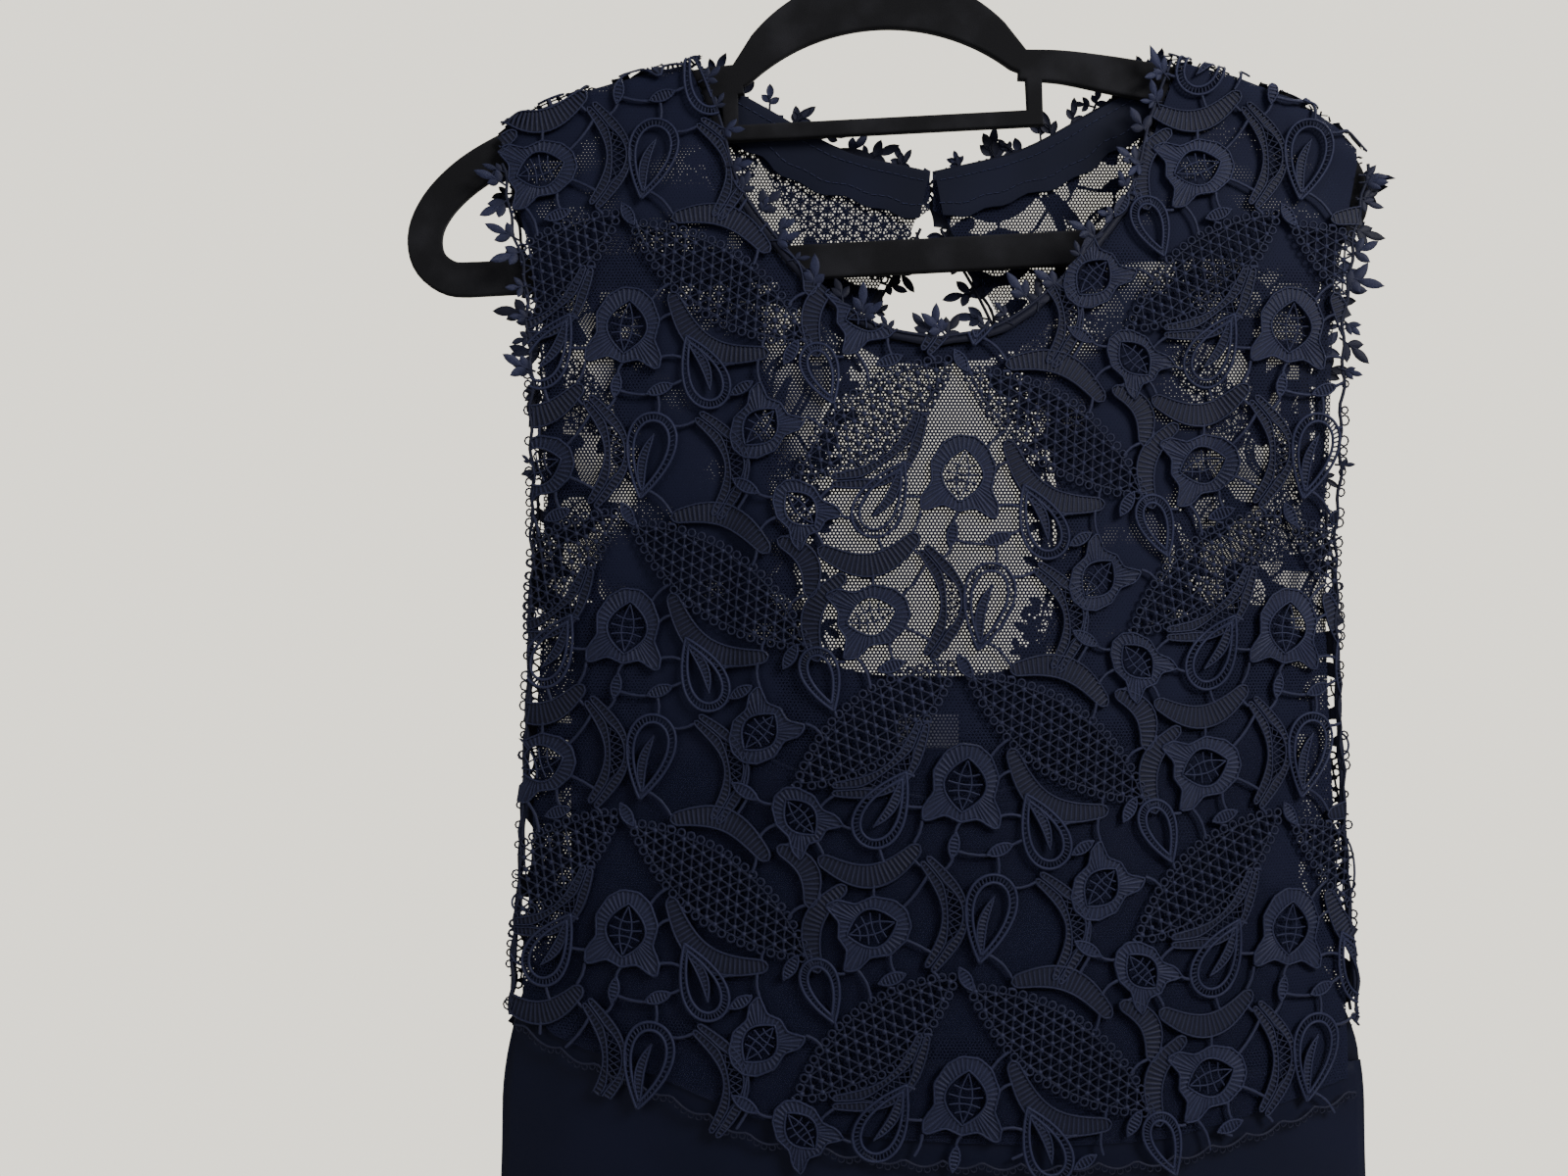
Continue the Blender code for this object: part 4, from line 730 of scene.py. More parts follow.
# %% Sewing
class Sewing:
    """Faces drawn flat; each corner has its place on the cloth and its height above it."""

    def __init__(self, base=0.0):
        self.points, self.quads, self.count, self.base = [], [], 0, base

    def grid(self, rows, round_rows=False, round_columns=False):
        """Joins rows of points, each row as long as the others."""
        n, m = rows.shape[:2]
        index = np.arange(n * m).reshape(n, m) + self.count
        if round_rows:
            index = np.vstack([index, index[:1]])
        if round_columns:
            index = np.hstack([index, index[:, :1]])
        quads = np.stack([index[:-1, :-1], index[:-1, 1:], index[1:, 1:], index[1:, :-1]], -1)
        self.points.append(rows.reshape(-1, 3))
        self.quads.append(quads.reshape(-1, 4))
        self.count += n * m

    def cord(self, line, width, height, low=0.0, closed=False, sides=6):
        """A round or flattened thread along a line of (x, z) or (x, z, lift)."""
        low = low + self.base
        line = np.asarray(line, float)
        if line.shape[1] == 2:
            line = np.hstack([line, np.zeros((len(line), 1))])
        if closed:
            run = np.roll(line, -1, 0) - np.roll(line, 1, 0)
        else:
            run = np.gradient(line, axis=0)
        length = np.maximum(np.hypot(run[:, 0], run[:, 1]), 1e-6)
        nx, nz = -run[:, 1] / length, run[:, 0] / length
        w = np.broadcast_to(width, len(line)) / 2
        rows = []
        for a in math.pi / 2 + np.arange(sides) * 2 * math.pi / sides:
            c, s = math.cos(a), 0.5 + 0.5 * math.sin(a)
            rows.append(np.stack([line[:, 0] + nx * w * c, line[:, 1] + nz * w * c,
                                  line[:, 2] + low + height * s * np.minimum(1, w * 4)], -1))
        self.grid(np.stack(rows, 1), closed, True)

    def arrays(self):
        return np.vstack(self.points), np.vstack(self.quads)


sample = Sewing()
sample.cord([(0, 0), (10, 0)], 1.0, 1.0)
print("faces of the shortest thread:", len(sample.arrays()[1]))

# %% [markdown]
# ## From a drawing to a piece
#
# A piece of the gown is one mesh. It rides with the gown, and where it stands for a solid of the model,
# that solid is hidden.


def piece(name, points, faces, material, *nodes, lift=None):
    """A mesh that rides with the gown and stands for the given nodes; points are in millimetres.

    The lift of each point, if given, goes to the finish as an attribute."""
    faces = [np.asarray(f, int) for f in (faces if isinstance(faces, list) else [faces]) if len(f)]
    mesh = bpy.data.meshes.new(name)
    mesh.vertices.add(len(points))
    mesh.vertices.foreach_set("co", (np.asarray(points, float) * 0.001).ravel())
    corners = np.concatenate([f.ravel() for f in faces])
    sizes = np.concatenate([np.full(len(f), f.shape[1]) for f in faces])
    mesh.loops.add(len(corners))
    mesh.loops.foreach_set("vertex_index", corners)
    mesh.polygons.add(len(sizes))
    mesh.polygons.foreach_set("loop_start", np.append(0, np.cumsum(sizes)[:-1]))
    mesh.update(calc_edges=True)
    mesh.shade_smooth()
    if lift is not None:
        mesh.attributes.new("lift", "FLOAT", "POINT").data.foreach_set("value", np.asarray(lift, np.float32))
    mesh.materials.append(material)
    made = bpy.data.objects.new(name, mesh)
    bpy.context.scene.collection.objects.link(made)
    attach(made, "root")
    if nodes:
        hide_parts(*nodes)
    print(name, "faces:", len(sizes))
    return made


# %% [markdown]
# A cloth's outline is cut into triangles with a point every few millimetres, so that it can bend, and is
# then laid on the surface. A Delaunay triangulation does the cutting: it keeps the outline's own points
# and leaves the hole open. A grid would be simpler, but its edge would be a staircase.


# %% Flat cloth
def lattice(outline, step, clear):
    """Staggered points inside an outline, none of them close to its edge."""
    low, high = outline.min(0), outline.max(0)
    rows = np.arange(math.floor(low[1] / (step * .87)), math.ceil(high[1] / (step * .87)) + 1)
    columns = np.arange(math.floor(low[0] / step) - 1, math.ceil(high[0] / step) + 1)
    c, r = np.meshgrid(columns, rows)
    points = np.stack([((c + 0.5 * (r % 2)) * step).ravel(), (r * step * .87).ravel()], 1)
    points = points[inside(points, outline)]
    ends = through_edges(outline, clear)
    far = [np.min(np.hypot(*(ends - p).T)) > clear for p in points]
    return points[np.array(far, bool)]


def cut_flat(outline, hole, step):
    """Triangles of a flat cloth, fine enough to bend."""
    shapes = [through_edges(outline, step)] + ([through_edges(hole, step)] if hole is not None else [])
    verts, faces = [], []
    for shape in shapes:
        x, z = shape.T
        area = np.sum(x * np.roll(z, -1) - np.roll(x, -1) * z)
        faces.append(list(range(len(verts), len(verts) + len(shape))))
        verts += [Vector(p) for p in (shape if area > 0 else shape[::-1])]
    verts += [Vector(p) for p in lattice(outline, step, 0.5 * step)]
    co, _, tris, _, _, owners = delaunay_2d_cdt(verts, [], faces, 0, 0.02)
    return np.array([tuple(c) for c in co]), np.array([t for t, o in zip(tris, owners) if list(o) == [0]])


def cloth(name, face, outline, hole, count, step, material, *nodes, thick=0.0):
    """A cloth on the surface: one sheet, or two with a closed edge if it has a thickness."""
    flat, tris = cut_flat(outline, hole, step)
    lift = layer(count, flat[:, 0], flat[:, 1]) - 0.5 * (CLOTH_THICK - thick)
    outer = laid(face, flat[:, 0], flat[:, 1], lift)
    if not thick:
        return piece(name, outer, tris if face == FRONT else tris[:, ::-1], material, *nodes)
    inner = laid(face, flat[:, 0], flat[:, 1], lift - thick)
    edges = np.vstack([tris[:, [0, 1]], tris[:, [1, 2]], tris[:, [2, 0]]])
    key = edges[:, 0] * len(flat) + edges[:, 1]
    rim = edges[~np.isin(key, edges[:, 1] * len(flat) + edges[:, 0])]
    n = len(flat)
    walls = np.stack([rim[:, 1], rim[:, 0], rim[:, 0] + n, rim[:, 1] + n], 1)
    faces = [tris, tris[:, ::-1] + n, walls]
    if face == BACK:
        faces = [f[:, ::-1] for f in faces]
    return piece(name, np.vstack([outer, inner]), faces, material, *nodes)


swatch = np.array([(0, 0), (100, 0), (100, 100), (0, 100)], float)
print("triangles of a 100 mm swatch, cut every 8 mm:", len(cut_flat(swatch, None, 8)[1]))

# %% [markdown]
# ## The lace: one repeat
#
# This kind of lace is embroidered on a film that is then washed away, so only thread is left: ribbed
# scrolls and bells in satin stitch between raised cords, leaf shapes filled with a star net, looped
# teardrops, small pods, and thin bars that hold the motifs together. It could be a picture with a
# transparent ground, but then it would be flat and would show the same from every side. Here one repeat
# is made as real cords from short tables of motifs, and the repeat is laid again and again in columns
# that drop by half a repeat, as in the real pattern. The tables are those of the model, so that each
# motif lies between the same openings.

# %% Motifs of one repeat
REPEAT_W, REPEAT_H = 150, 136
PHASE = {FRONT: (8, 20), BACK: (70, 52)}
# Middle (u, v), length, width and turn of each motif.
NET_LEAVES = ((44, 98, 100, 34, -35), (113, 36, 90, 32, 38))
BELLS = ((2, 79, 35, 34, -97), (-38, 16, 33, 31, 196), (62, 32, 30, 28, 50), (-70, 64, 28, 25, -50))
LOOPS = ((-33, 68, 38, 23, 240), (36, 58, 36, 22, -66), (12, 20, 40, 24, 78), (90, 56, 30, 18, 110))
PODS = ((17, 50, 13, 6, 20), (-3, 52, 12, 5.5, 80), (2, -6, 12, 6, -60), (56, 6, 14, 6, -30),
        (76, 66, 13, 6, 60), (-30, -6, 13, 6, 20), (54, 50, 12, 5.5, 30))
# A scroll runs from (u0, v0) to (u1, v1) and bulges sideways by a share of its length; its width comes last.
SCROLLS = (
    (-16, 106, -56, 76, .22, 12), (22, 94, 66, 66, -.24, 11), (-62, 46, -18, 52, -.24, 11),
    (-16, 46, -14, -2, .26, 12), (34, 38, 42, -8, .30, 12), (-62, -4, -50, 34, .22, 9.5),
    (22, -8, 66, -24, .20, 11), (84, 92, 70, 118, -.25, 10))
# Half a bell's outline, as shares of its length and width.
BELL_PROFILE = ((0, .12), (.12, .30), (.38, .44), (.66, .40), (.86, .52), (1.06, .50), (.93, .22), (1, 0))
LOOP_CORD = 4.5                         # breadth of a teardrop's double cord
BRIDE_REACH, BRIDE_APART = 20, 10       # the longest bar, and how far apart bars are at least
print("motifs of a repeat:", len(NET_LEAVES + BELLS + LOOPS + PODS + SCROLLS))


# %% Outlines of the motifs
def placed(points, u, v, turn):
    c, s = math.cos(math.radians(turn)), math.sin(math.radians(turn))
    p = np.asarray(points, float)
    return np.stack([u + c * p[:, 0] - s * p[:, 1], v + s * p[:, 0] + c * p[:, 1]], 1)


def spindle(long, wide, steps, power=0.8):
    """A leaf with a point at each end."""
    t = np.arange(steps + 1) / steps
    top = np.stack([long * (t - 0.5), 0.5 * wide * np.sin(math.pi * t) ** power], 1)
    return np.vstack([top, (top * (1, -1))[-2:0:-1]])


def bell(long, wide):
    top = np.array([(long * (a - 0.5), wide * b) for a, b in BELL_PROFILE])
    return np.vstack([top, (top * (1, -1))[-2::-1]])


def teardrop(long, wide, steps):
    t = 2 * math.pi * np.arange(steps) / steps
    return np.stack([-0.5 * long * np.cos(t), 0.625 * wide * np.sin(t) * np.sin(t / 2)], 1)


def arc(u0, v0, u1, v1, rise, steps):
    t = np.arange(steps + 1) / steps
    lift = rise * np.sin(math.pi * t)
    return np.stack([u0 + (u1 - u0) * t - (v1 - v0) * lift, v0 + (v1 - v0) * t + (u1 - u0) * lift], 1)


def scroll_sides(row, steps):
    """The two edges of a scroll and its middle line."""
    line = arc(*row[:5], steps)
    widths = row[5] * (0.55 + 0.45 * np.sin(math.pi * np.arange(steps + 1) / steps))
    left, right = side_line(line[:, 0], line[:, 1], widths)
    return np.stack(left, 1), np.stack(right, 1), line


def motif_outlines():
    """The coarse outline of each motif, from which the bars between them are found."""
    found = [placed(spindle(m[2], m[3], 7), m[0], m[1], m[4]) for m in NET_LEAVES]
    found += [placed(bell(m[2], m[3]), m[0], m[1], m[4]) for m in BELLS]
    found += [placed(teardrop(m[2], m[3], 12), m[0], m[1], m[4]) for m in LOOPS]
    for m in SCROLLS:
        left, right, _ = scroll_sides(m, 7)
        found.append(np.vstack([left, right[::-1]]))
    return found + [placed(spindle(m[2], m[3], 3), m[0], m[1], m[4]) for m in PODS]


print("outlines:", len(motif_outlines()))

# %% [markdown]
# The bars are not drawn one by one. For each pair of neighbours the shortest ways across are listed, and
# a bar is sewn where it crosses nothing and no other bar is near. A short bar ties two motifs straight,
# and the real ones are just as short.

# %% Bars between the motifs
NEIGHBOURS = ((0, 0), (1, .5), (1, -.5), (-1, .5), (-1, -.5), (0, 1), (0, -1), (1, 1.5), (-1, 1.5))
SHIFTS = [(i * REPEAT_W, j * REPEAT_H) for i, j in NEIGHBOURS]


def crossing(p, q, a, b):
    """Whether the line p-q crosses each of the lines a-b."""
    def side(o, d, r):
        along, across = d - o, r - o
        return along[..., 0] * across[..., 1] - along[..., 1] * across[..., 0]
    return (side(p, q, a) * side(p, q, b) < 0) & (side(a, b, p) * side(a, b, q) < 0)


def bar_choices(outlines):
    """The shortest ways between neighbouring motifs, at most two for each pair, shortest first."""
    fine = [through_edges(o, 2.5) for o in outlines]
    choices = []
    for i, first in enumerate(fine):
        for j in range(i, len(fine)):
            for shift in SHIFTS:
                if i == j and shift <= (0, 0):
                    continue
                other = fine[j] + shift
                gap = np.hypot(first[:, None, 0] - other[None, :, 0], first[:, None, 1] - other[None, :, 1])
                taken = []
                for k in np.argsort(gap, axis=None)[::3]:
                    a, b = divmod(int(k), gap.shape[1])
                    if gap[a, b] > BRIDE_REACH or len(taken) == 2:
                        break
                    middle = 0.5 * (first[a] + other[b])
                    if all(math.dist(middle, m) > 2.2 * BRIDE_APART for m in taken):
                        taken.append(middle)
                        choices.append((float(gap[a, b]), *first[a], *other[b]))
    return sorted(choices)


def bars(outlines):
    """The bars that cross no motif and keep their distance from each other."""
    walls = [o + shift for shift in SHIFTS for o in outlines]
    starts = np.vstack(walls)
    ends = np.vstack([np.roll(o, -1, axis=0) for o in walls])
    done = []
    for length, *ends_of_bar in bar_choices(outlines):
        p, q = np.array(ends_of_bar[:2]), np.array(ends_of_bar[2:])
        if length < 0.6:
            continue
        if done:
            others = np.vstack([np.array(done) + (*shift, *shift) for shift in SHIFTS])
            a, b = others[:, :2], others[:, 2:]
            near = np.hypot(*((p + q - a - b) / 2).T) < BRIDE_APART
            if np.any(near | crossing(p, q, a, b)):
                continue
        if not np.any(crossing(p + (q - p) * 0.08, q + (p - q) * 0.08, starts, ends)):
            done.append((*p, *q))
    return done


BARS = bars(motif_outlines())
print("bars in a repeat:", len(BARS))


# %% [markdown]
# Most of the lace is satin stitch: thread laid to and fro between two cords. Modelling each pass of the
# thread would take millions of faces. A band here is a thin ground, a raised rung every two millimetres
# and a beaded cord along each side, and its free ends are rounded.

# %% Satin stitch
RUNG_PITCH, RUNG_HIGH, GROUND_LIFT = 2.1, 0.85, 0.25
CORD_WIDE, CORD_BEAD, CORD_HIGH = 1.25, 0.35, 1.15


class Strip:
    """The strip between two lines, which gives its two sides at even places along it."""

    def __init__(self, left, right, closed):
        self.closed = closed
        self.sides = [np.asarray(line, float) for line in (left, right)]
        if closed:
            self.sides = [np.vstack([line, line[:1]]) for line in self.sides]
        centre = 0.5 * (self.sides[0] + self.sides[1])
        self.run = np.append(0, np.cumsum(np.hypot(*np.diff(centre, axis=0).T)))

    def at(self, count):
        places = np.linspace(0, self.run[-1], count + 1)[: count if self.closed else None]
        a, b = (np.stack([np.interp(places, self.run, line[:, k]) for k in (0, 1)], 1) for line in self.sides)
        if not self.closed:
            half = np.maximum(0.5 * np.hypot(*(b - a).T), 0.3)
            near = np.minimum(np.minimum(places, self.run[-1] - places) / half, 1)
            narrow = (0.5 - 0.5 * np.sqrt(1 - (1 - near) ** 2))[:, None]
            a, b = a + (b - a) * narrow, b + (a - b) * narrow
        return a, b


def ground(work, a, b, closed):
    """The thin ground that the rungs lie on."""
    lift = np.full(len(a), work.base + GROUND_LIFT)
    rows = [np.column_stack([a + (b - a) * t, lift]) for t in (0.05, 0.95)]
    work.grid(np.stack(rows, 1), closed, False)


def rungs(work, a, b, pitch, high):
    """A raised rung at every place, three points long and three across, highest in its middle."""
    wide = np.hypot(*(b - a).T)
    along = np.gradient(0.5 * (a + b), axis=0)
    along *= 0.31 * pitch / np.maximum(np.hypot(*along.T), 1e-6)[:, None]
    points = []
    for side, lift in ((-1, 0.2), (0, 1.0), (1, 0.2)):
        for t, drop in ((0.06, 0.3), (0.5, 0.0), (0.94, 0.3)):
            spot = a + (b - a) * t + along * side
            rise = (lift - drop * (side == 0)) * high * np.minimum(1, wide / 2)
            points.append(np.column_stack([spot, work.base + 0.1 + rise]))
    for rung in np.stack(points, 1).reshape(len(a), 3, 3, 3)[wide > 1.2]:
        work.grid(rung)


def satin(work, left, right, closed=False, pitch=RUNG_PITCH, high=RUNG_HIGH):
    """A band of satin stitch between two lines."""
    strip = Strip(left, right, closed)
    count = max(3, round(strip.run[-1] / pitch))
    a, b = strip.at(count)
    ground(work, a, b, closed)
    rungs(work, a, b, pitch, high)
    a, b = strip.at(2 * count)
    share = np.minimum(0.55 / np.maximum(np.hypot(*(b - a).T), 0.1), 0.5)[:, None]
    bead = CORD_WIDE + CORD_BEAD * (np.arange(len(a)) % 2)
    work.cord(a + (b - a) * share, bead, CORD_HIGH, closed=closed, sides=3)
    work.cord(b + (a - b) * share, bead, CORD_HIGH, closed=closed, sides=3)


sample = Sewing()
satin(sample, [(0, 0), (30, 0)], [(0, 8), (30, 8)])
print("faces of 30 mm of satin stitch:", len(sample.arrays()[1]))

# %% [markdown]
# Each motif is a small object of its own. A scroll is a band of satin stitch, and a wide one is parted
# round an eye that threads cross. A bell is a ring of satin stitch round a window with a web. A teardrop
# is two cords with rungs between them, and most have a petal inside. A leaf is three sets of threads that
# cross in stars, with a row of eyelets round it. `base` sets how high each kind lies, so that the bells
# lie over the scrolls.


# %% Scrolls
def sew_scroll(row):
    work = Sewing(0.25)
    left, right, line = scroll_sides(row, 24)
    if row[5] < 12:
        satin(work, left, right)
        return work, line.mean(0)
    t = np.linspace(0, 1, 25)
    eye = 2.9 * np.maximum(0, np.sin(math.pi * (t - 0.22) / 0.56)) * (t > 0.22) * (t < 0.78)
    inner_left, inner_right = (np.stack(s, 1) for s in side_line(line[:, 0], line[:, 1], 2 * eye + 0.02))
    satin(work, left, inner_left)
    satin(work, inner_right, right)
    for lean in (1.6, -1.6):
        for k in np.arange(6.5, 17.5, 1.5):
            a = [np.interp(k, np.arange(25), inner_left[:, i]) for i in (0, 1)]
            b = [np.interp(k + lean, np.arange(25), inner_right[:, i]) for i in (0, 1)]
            work.cord([a, b], 0.62, 0.6, 0.2, sides=4)
    return work, line.mean(0)


print("faces of the first scroll:", len(sew_scroll(SCROLLS[0])[0].arrays()[1]))


# %% Bells
def rays(outline, centre, angles):
    """Where rays from a centre leave an outline."""
    a, b = outline - centre, np.roll(outline, -1, axis=0) - centre
    found = []
    for angle in angles:
        d = np.array([math.cos(angle), math.sin(angle)])
        side_a, side_b = a @ (-d[1], d[0]), b @ (-d[1], d[0])
        hit = (side_a * side_b <= 0) & (side_a != side_b)
        t = side_a[hit] / (side_a[hit] - side_b[hit])
        far = (a[hit] + (b[hit] - a[hit]) * t[:, None]) @ d
        found.append(centre + d * far.max())
    return np.array(found)


def sew_bell(row):
    """The ring of a bell between rays from its middle, and the web in its window."""
    work = Sewing(0.6)
    u, v, long, wide, turn = row
    angles = np.linspace(0, 2 * math.pi, 72, endpoint=False)
    centre = np.array([0.02 * long, 0.0])
    lens = spindle(0.66 * long, 0.52 * wide, 12, 0.9) + centre
    outer = rays(bell(long, wide), centre, angles)
    inner = rays(lens, centre, angles)
    satin(work, placed(inner, u, v, turn), placed(outer, u, v, turn), closed=True)
    web = [arc(-0.29 * long, 0, 0.33 * long, 0, s * 0.13, 6) for s in (1, -1)]
    web += [arc(x * long, -h * wide, x * long, h * wide, b, 4)
            for x, h, b in ((-0.13, .17, -.12), (-.01, .22, -.06), (.12, .2, .08), (.22, .12, .14))]
    for line in web:
        work.cord(placed(line, u, v, turn), 0.75, 0.8, 0.15, sides=4)
    return work, np.array([u, v])


print("faces of the first bell:", len(sew_bell(BELLS[0])[0].arrays()[1]))


# %% Teardrops and pods
TEARDROP_STEPS = 48


def sew_teardrop(row):
    work = Sewing(0.45)
    u, v, long, wide, turn = row
    outer = teardrop(long, wide, TEARDROP_STEPS)
    inner = teardrop(long - 2 * LOOP_CORD, wide - 1.9 * LOOP_CORD, TEARDROP_STEPS)
    for share in (0.12, 0.88):
        work.cord(placed(outer + (inner - outer) * share, u, v, turn), 1.45, 1.25, 0.0, closed=True, sides=4)
    for k in range(TEARDROP_STEPS):
        rung = [outer[k] * 0.85 + inner[k] * 0.15, outer[k] * 0.15 + inner[k] * 0.85]
        work.cord(placed(rung, u, v, turn), 1.0, 0.7, 0.1, sides=3)
    if long > 33:
        petal = arc(-0.38 * long, 0, 0.26 * long, -0.02 * wide, 0.10, 12)
        widths = 4.6 * np.sin(math.pi * (0.10 + 0.90 * np.arange(13) / 12)) ** 0.7 + 0.2
        left, right = (np.stack(side, 1) for side in side_line(petal[:, 0], petal[:, 1], widths))
        satin(work, placed(left, u, v, turn), placed(right, u, v, turn), pitch=1.8)
    return work, np.array([u, v])


def sew_pod(row):
    work = Sewing(0.7)
    u, v, long, wide, turn = row
    whole = spindle(long, wide, 8, 0.7)
    top = whole[:9]
    low = np.vstack([whole[0], whole[:8:-1], whole[8]])
    satin(work, placed(top, u, v, turn), placed(low, u, v, turn), pitch=1.7, high=1.1)
    return work, np.array([u, v])


print("faces of the first teardrop:", len(sew_teardrop(LOOPS[0])[0].arrays()[1]))

# %% Star-net leaves
STAR_PITCH, EYELET = 4.4, 4.6           # between the threads of one set, and between the eyelets


def clipped(outline, point, direction):
    """The stretch of a line that lies inside a bulging outline."""
    across = np.array([-direction[1], direction[0]])
    a, b = outline - point, np.roll(outline, -1, axis=0) - point
    side_a, side_b = a @ across, b @ across
    hit = (side_a * side_b < 0)
    if hit.sum() < 2:
        return None
    t = side_a[hit] / (side_a[hit] - side_b[hit])
    far = (a[hit] + (b[hit] - a[hit]) * t[:, None]) @ direction
    return point + np.outer([far.min(), far.max()], direction)


def ring(work, x, z, radius, thread, lift):
    a = np.arange(8) * math.pi / 4
    line = np.stack([x + radius * np.cos(a), z + radius * np.sin(a)], 1)
    work.cord(line, thread, 0.9, lift, closed=True, sides=4)


def sew_threads(work, field, centre, turn):
    """Three sets of slightly wavy threads across the leaf."""
    for angle in (0, 60, 120):
        d = np.array([math.cos(math.radians(turn + angle)), math.sin(math.radians(turn + angle))])
        for k in range(-30, 31):
            ends = clipped(field, centre + k * STAR_PITCH * np.array([-d[1], d[0]]), d)
            if ends is not None:
                count = max(2, math.ceil(math.dist(*ends) / 5))
                t = np.linspace(0, 1, count)[:, None]
                line = ends[0] + (ends[1] - ends[0]) * t
                wavy = 0.35 * np.sin(line[:, 0] * 0.9 + k) * np.sin(math.pi * t[:, 0])
                line = line + wavy[:, None] * (-d[1], d[0])
                work.cord(line, 0.95, 0.85, 0.1, sides=4)


def sew_knots(work, field, u, v, turn):
    """A small knot wherever three threads cross."""
    a = np.arange(6) * math.pi / 3 + math.radians(turn)
    step = STAR_PITCH / math.sin(math.pi / 3)
    for i in range(-24, 25):
        for j in range(-24, 25):
            spot = placed([(step * (i + 0.5 * j), STAR_PITCH * j)], u, v, turn)
            if inside(spot, field)[0]:
                x = spot[0, 0] + 0.3 * math.sin(5 * i + j)
                z = spot[0, 1] + 0.3 * math.sin(3 * j - i)
                knot = [np.stack([x + r * np.cos(a), z + r * np.sin(a), np.full(6, lift)], 1)
                        for r, lift in ((1.45, 0.3), (1.0, 1.15), (0.1, 1.35))]
                work.grid(np.stack(knot), False, True)


def sew_net_leaf(row):
    """A leaf of star-net, with eyelets round it and a cord inside them."""
    work = Sewing()
    u, v, long, wide, turn = row
    centre = np.array([u, v], float)
    field = placed(spindle(long - 7, wide - 6, 20), u, v, turn)
    sew_threads(work, field, centre, turn)
    sew_knots(work, field, u, v, turn)
    edge = placed(spindle(long - 3.4, wide - 3.2, 60), u, v, turn)
    edge = np.vstack([edge, edge[:1]])
    run = np.append(0, np.cumsum(np.hypot(*np.diff(edge, axis=0).T)))
    for at in np.arange(0, run[-1] - EYELET / 2, EYELET):
        ring(work, np.interp(at, run, edge[:, 0]), np.interp(at, run, edge[:, 1]), 1.75, 1.1, 0.2)
    work.cord(placed(spindle(long - 7.4, wide - 6.4, 30), u, v, turn), 0.8, 0.8, 0.2, closed=True, sides=4)
    return work, centre


print("faces of the first leaf:", len(sew_net_leaf(NET_LEAVES[0])[0].arrays()[1]))


# %% All motifs of the repeat
def sew_bars():
    """All bars of the repeat: each sags a little to one side, as thread does."""
    made = []
    for k, (ax, az, bx, bz) in enumerate(BARS):
        work = Sewing()
        a, b = np.array([ax, az]), np.array([bx, bz])
        d = (b - a) / math.dist(a, b)
        line = arc(*(a - d * 1.2), *(b + d * 1.2), 0.10 * math.sin(2.4 * k), 6)
        work.cord(line, 1.4 + 0.35 * (np.arange(7) % 2), 1.1, 0.15, sides=5)
        made.append((work, 0.5 * (a + b)))
    return made


BAND_MOTIFS = [sew_scroll(m) for m in SCROLLS] + [sew_bell(m) for m in BELLS]
LOOP_MOTIFS = [sew_teardrop(m) for m in LOOPS] + [sew_pod(m) for m in PODS]
FINE_MOTIFS = [sew_net_leaf(m) for m in NET_LEAVES] + sew_bars()
for title, motifs in (("bands", BAND_MOTIFS), ("loops", LOOP_MOTIFS), ("nets and bars", FINE_MOTIFS)):
    print(title, "in a repeat, faces:", sum(len(q) for work, _ in motifs for q in work.quads))


# %% [markdown]
# ## Laying the lace on the gown
#
# The repeat is laid over the flat panel and cut along its edges, as the tailor cut it. At the lower edge
# the cutter followed the motifs, so there a motif stays whole if its middle lies above the line. The
# lace isn't quite flat on its net: it stands off a little here and there, which `loose` gives.

# %% Lace panels
WHOLE_BELOW = 13                        # how far below the line a motif may reach, in millimetres


def loose(x, z):
    """How far the lace stands off, in millimetres."""
    return 0.35 + 0.35 * np.sin(x / 17 + 1.3 * np.sin(z / 29)) * np.sin(z / 21 + 0.8 * np.sin(x / 25))


def repeats(face):
    """Where each repeat starts: the columns drop by half a repeat in turn."""
    u0, v0 = PHASE[face]
    for column in range(-3, 4):
        for row in range(-8, 4):
            yield np.array([column * REPEAT_W + u0, (row + 0.5 * (column % 2)) * REPEAT_H + v0])


def kept_faces(at, quads, centre, outline, hole):
    """Which faces of a motif are left when the panel is cut out."""
    if np.any(at[:, :2].max(0) < outline.min(0)) or np.any(at[:, :2].min(0) > outline.max(0)):
        return np.zeros(len(quads), bool)
    if centre[1] < hem_z(centre[0]) and np.any(at[:, 1] < hem_z(at[:, 0])):
        return np.zeros(len(quads), bool)
    middles = at[quads].mean(1)[:, :2]
    keep = inside(middles, outline)
    if hole is not None and keep.any():
        keep &= ~inside(middles, hole)
    return keep


def lay_motifs(name, face, motifs, *nodes):
    """A lace panel of the given motifs, cut to its outline."""
    points, quads, count = [], [], 0
    outline = OUTLINES[face].copy()
    outline[outline[:, 1] < hem_z(outline[:, 0]) + 2, 1] -= WHOLE_BELOW
    for work, centre in motifs:
        flat, faces = work.arrays()
        for shift in repeats(face):
            at = flat + (*shift, 0)
            keep = kept_faces(at, faces, centre + shift, outline, HOLES[face])
            if keep.any():
                points.append(at)
                quads.append(faces[keep] + count)
                count += len(at)
    flat, faces = np.vstack(points), np.vstack(quads)
    used, faces = np.unique(faces, return_inverse=True)
    flat, faces = flat[used], faces.reshape(-1, 4)
    x, z, lift = flat.T
    points = laid(face, x, z, lift + loose(x, z))
    return piece(name, points, faces if face == FRONT else faces[:, ::-1], LACE, *nodes, lift=lift)


def lace_foot(step):
    x = np.arange(-192, 192.1, step)
    return np.stack([x, hem_z(x)], 1)


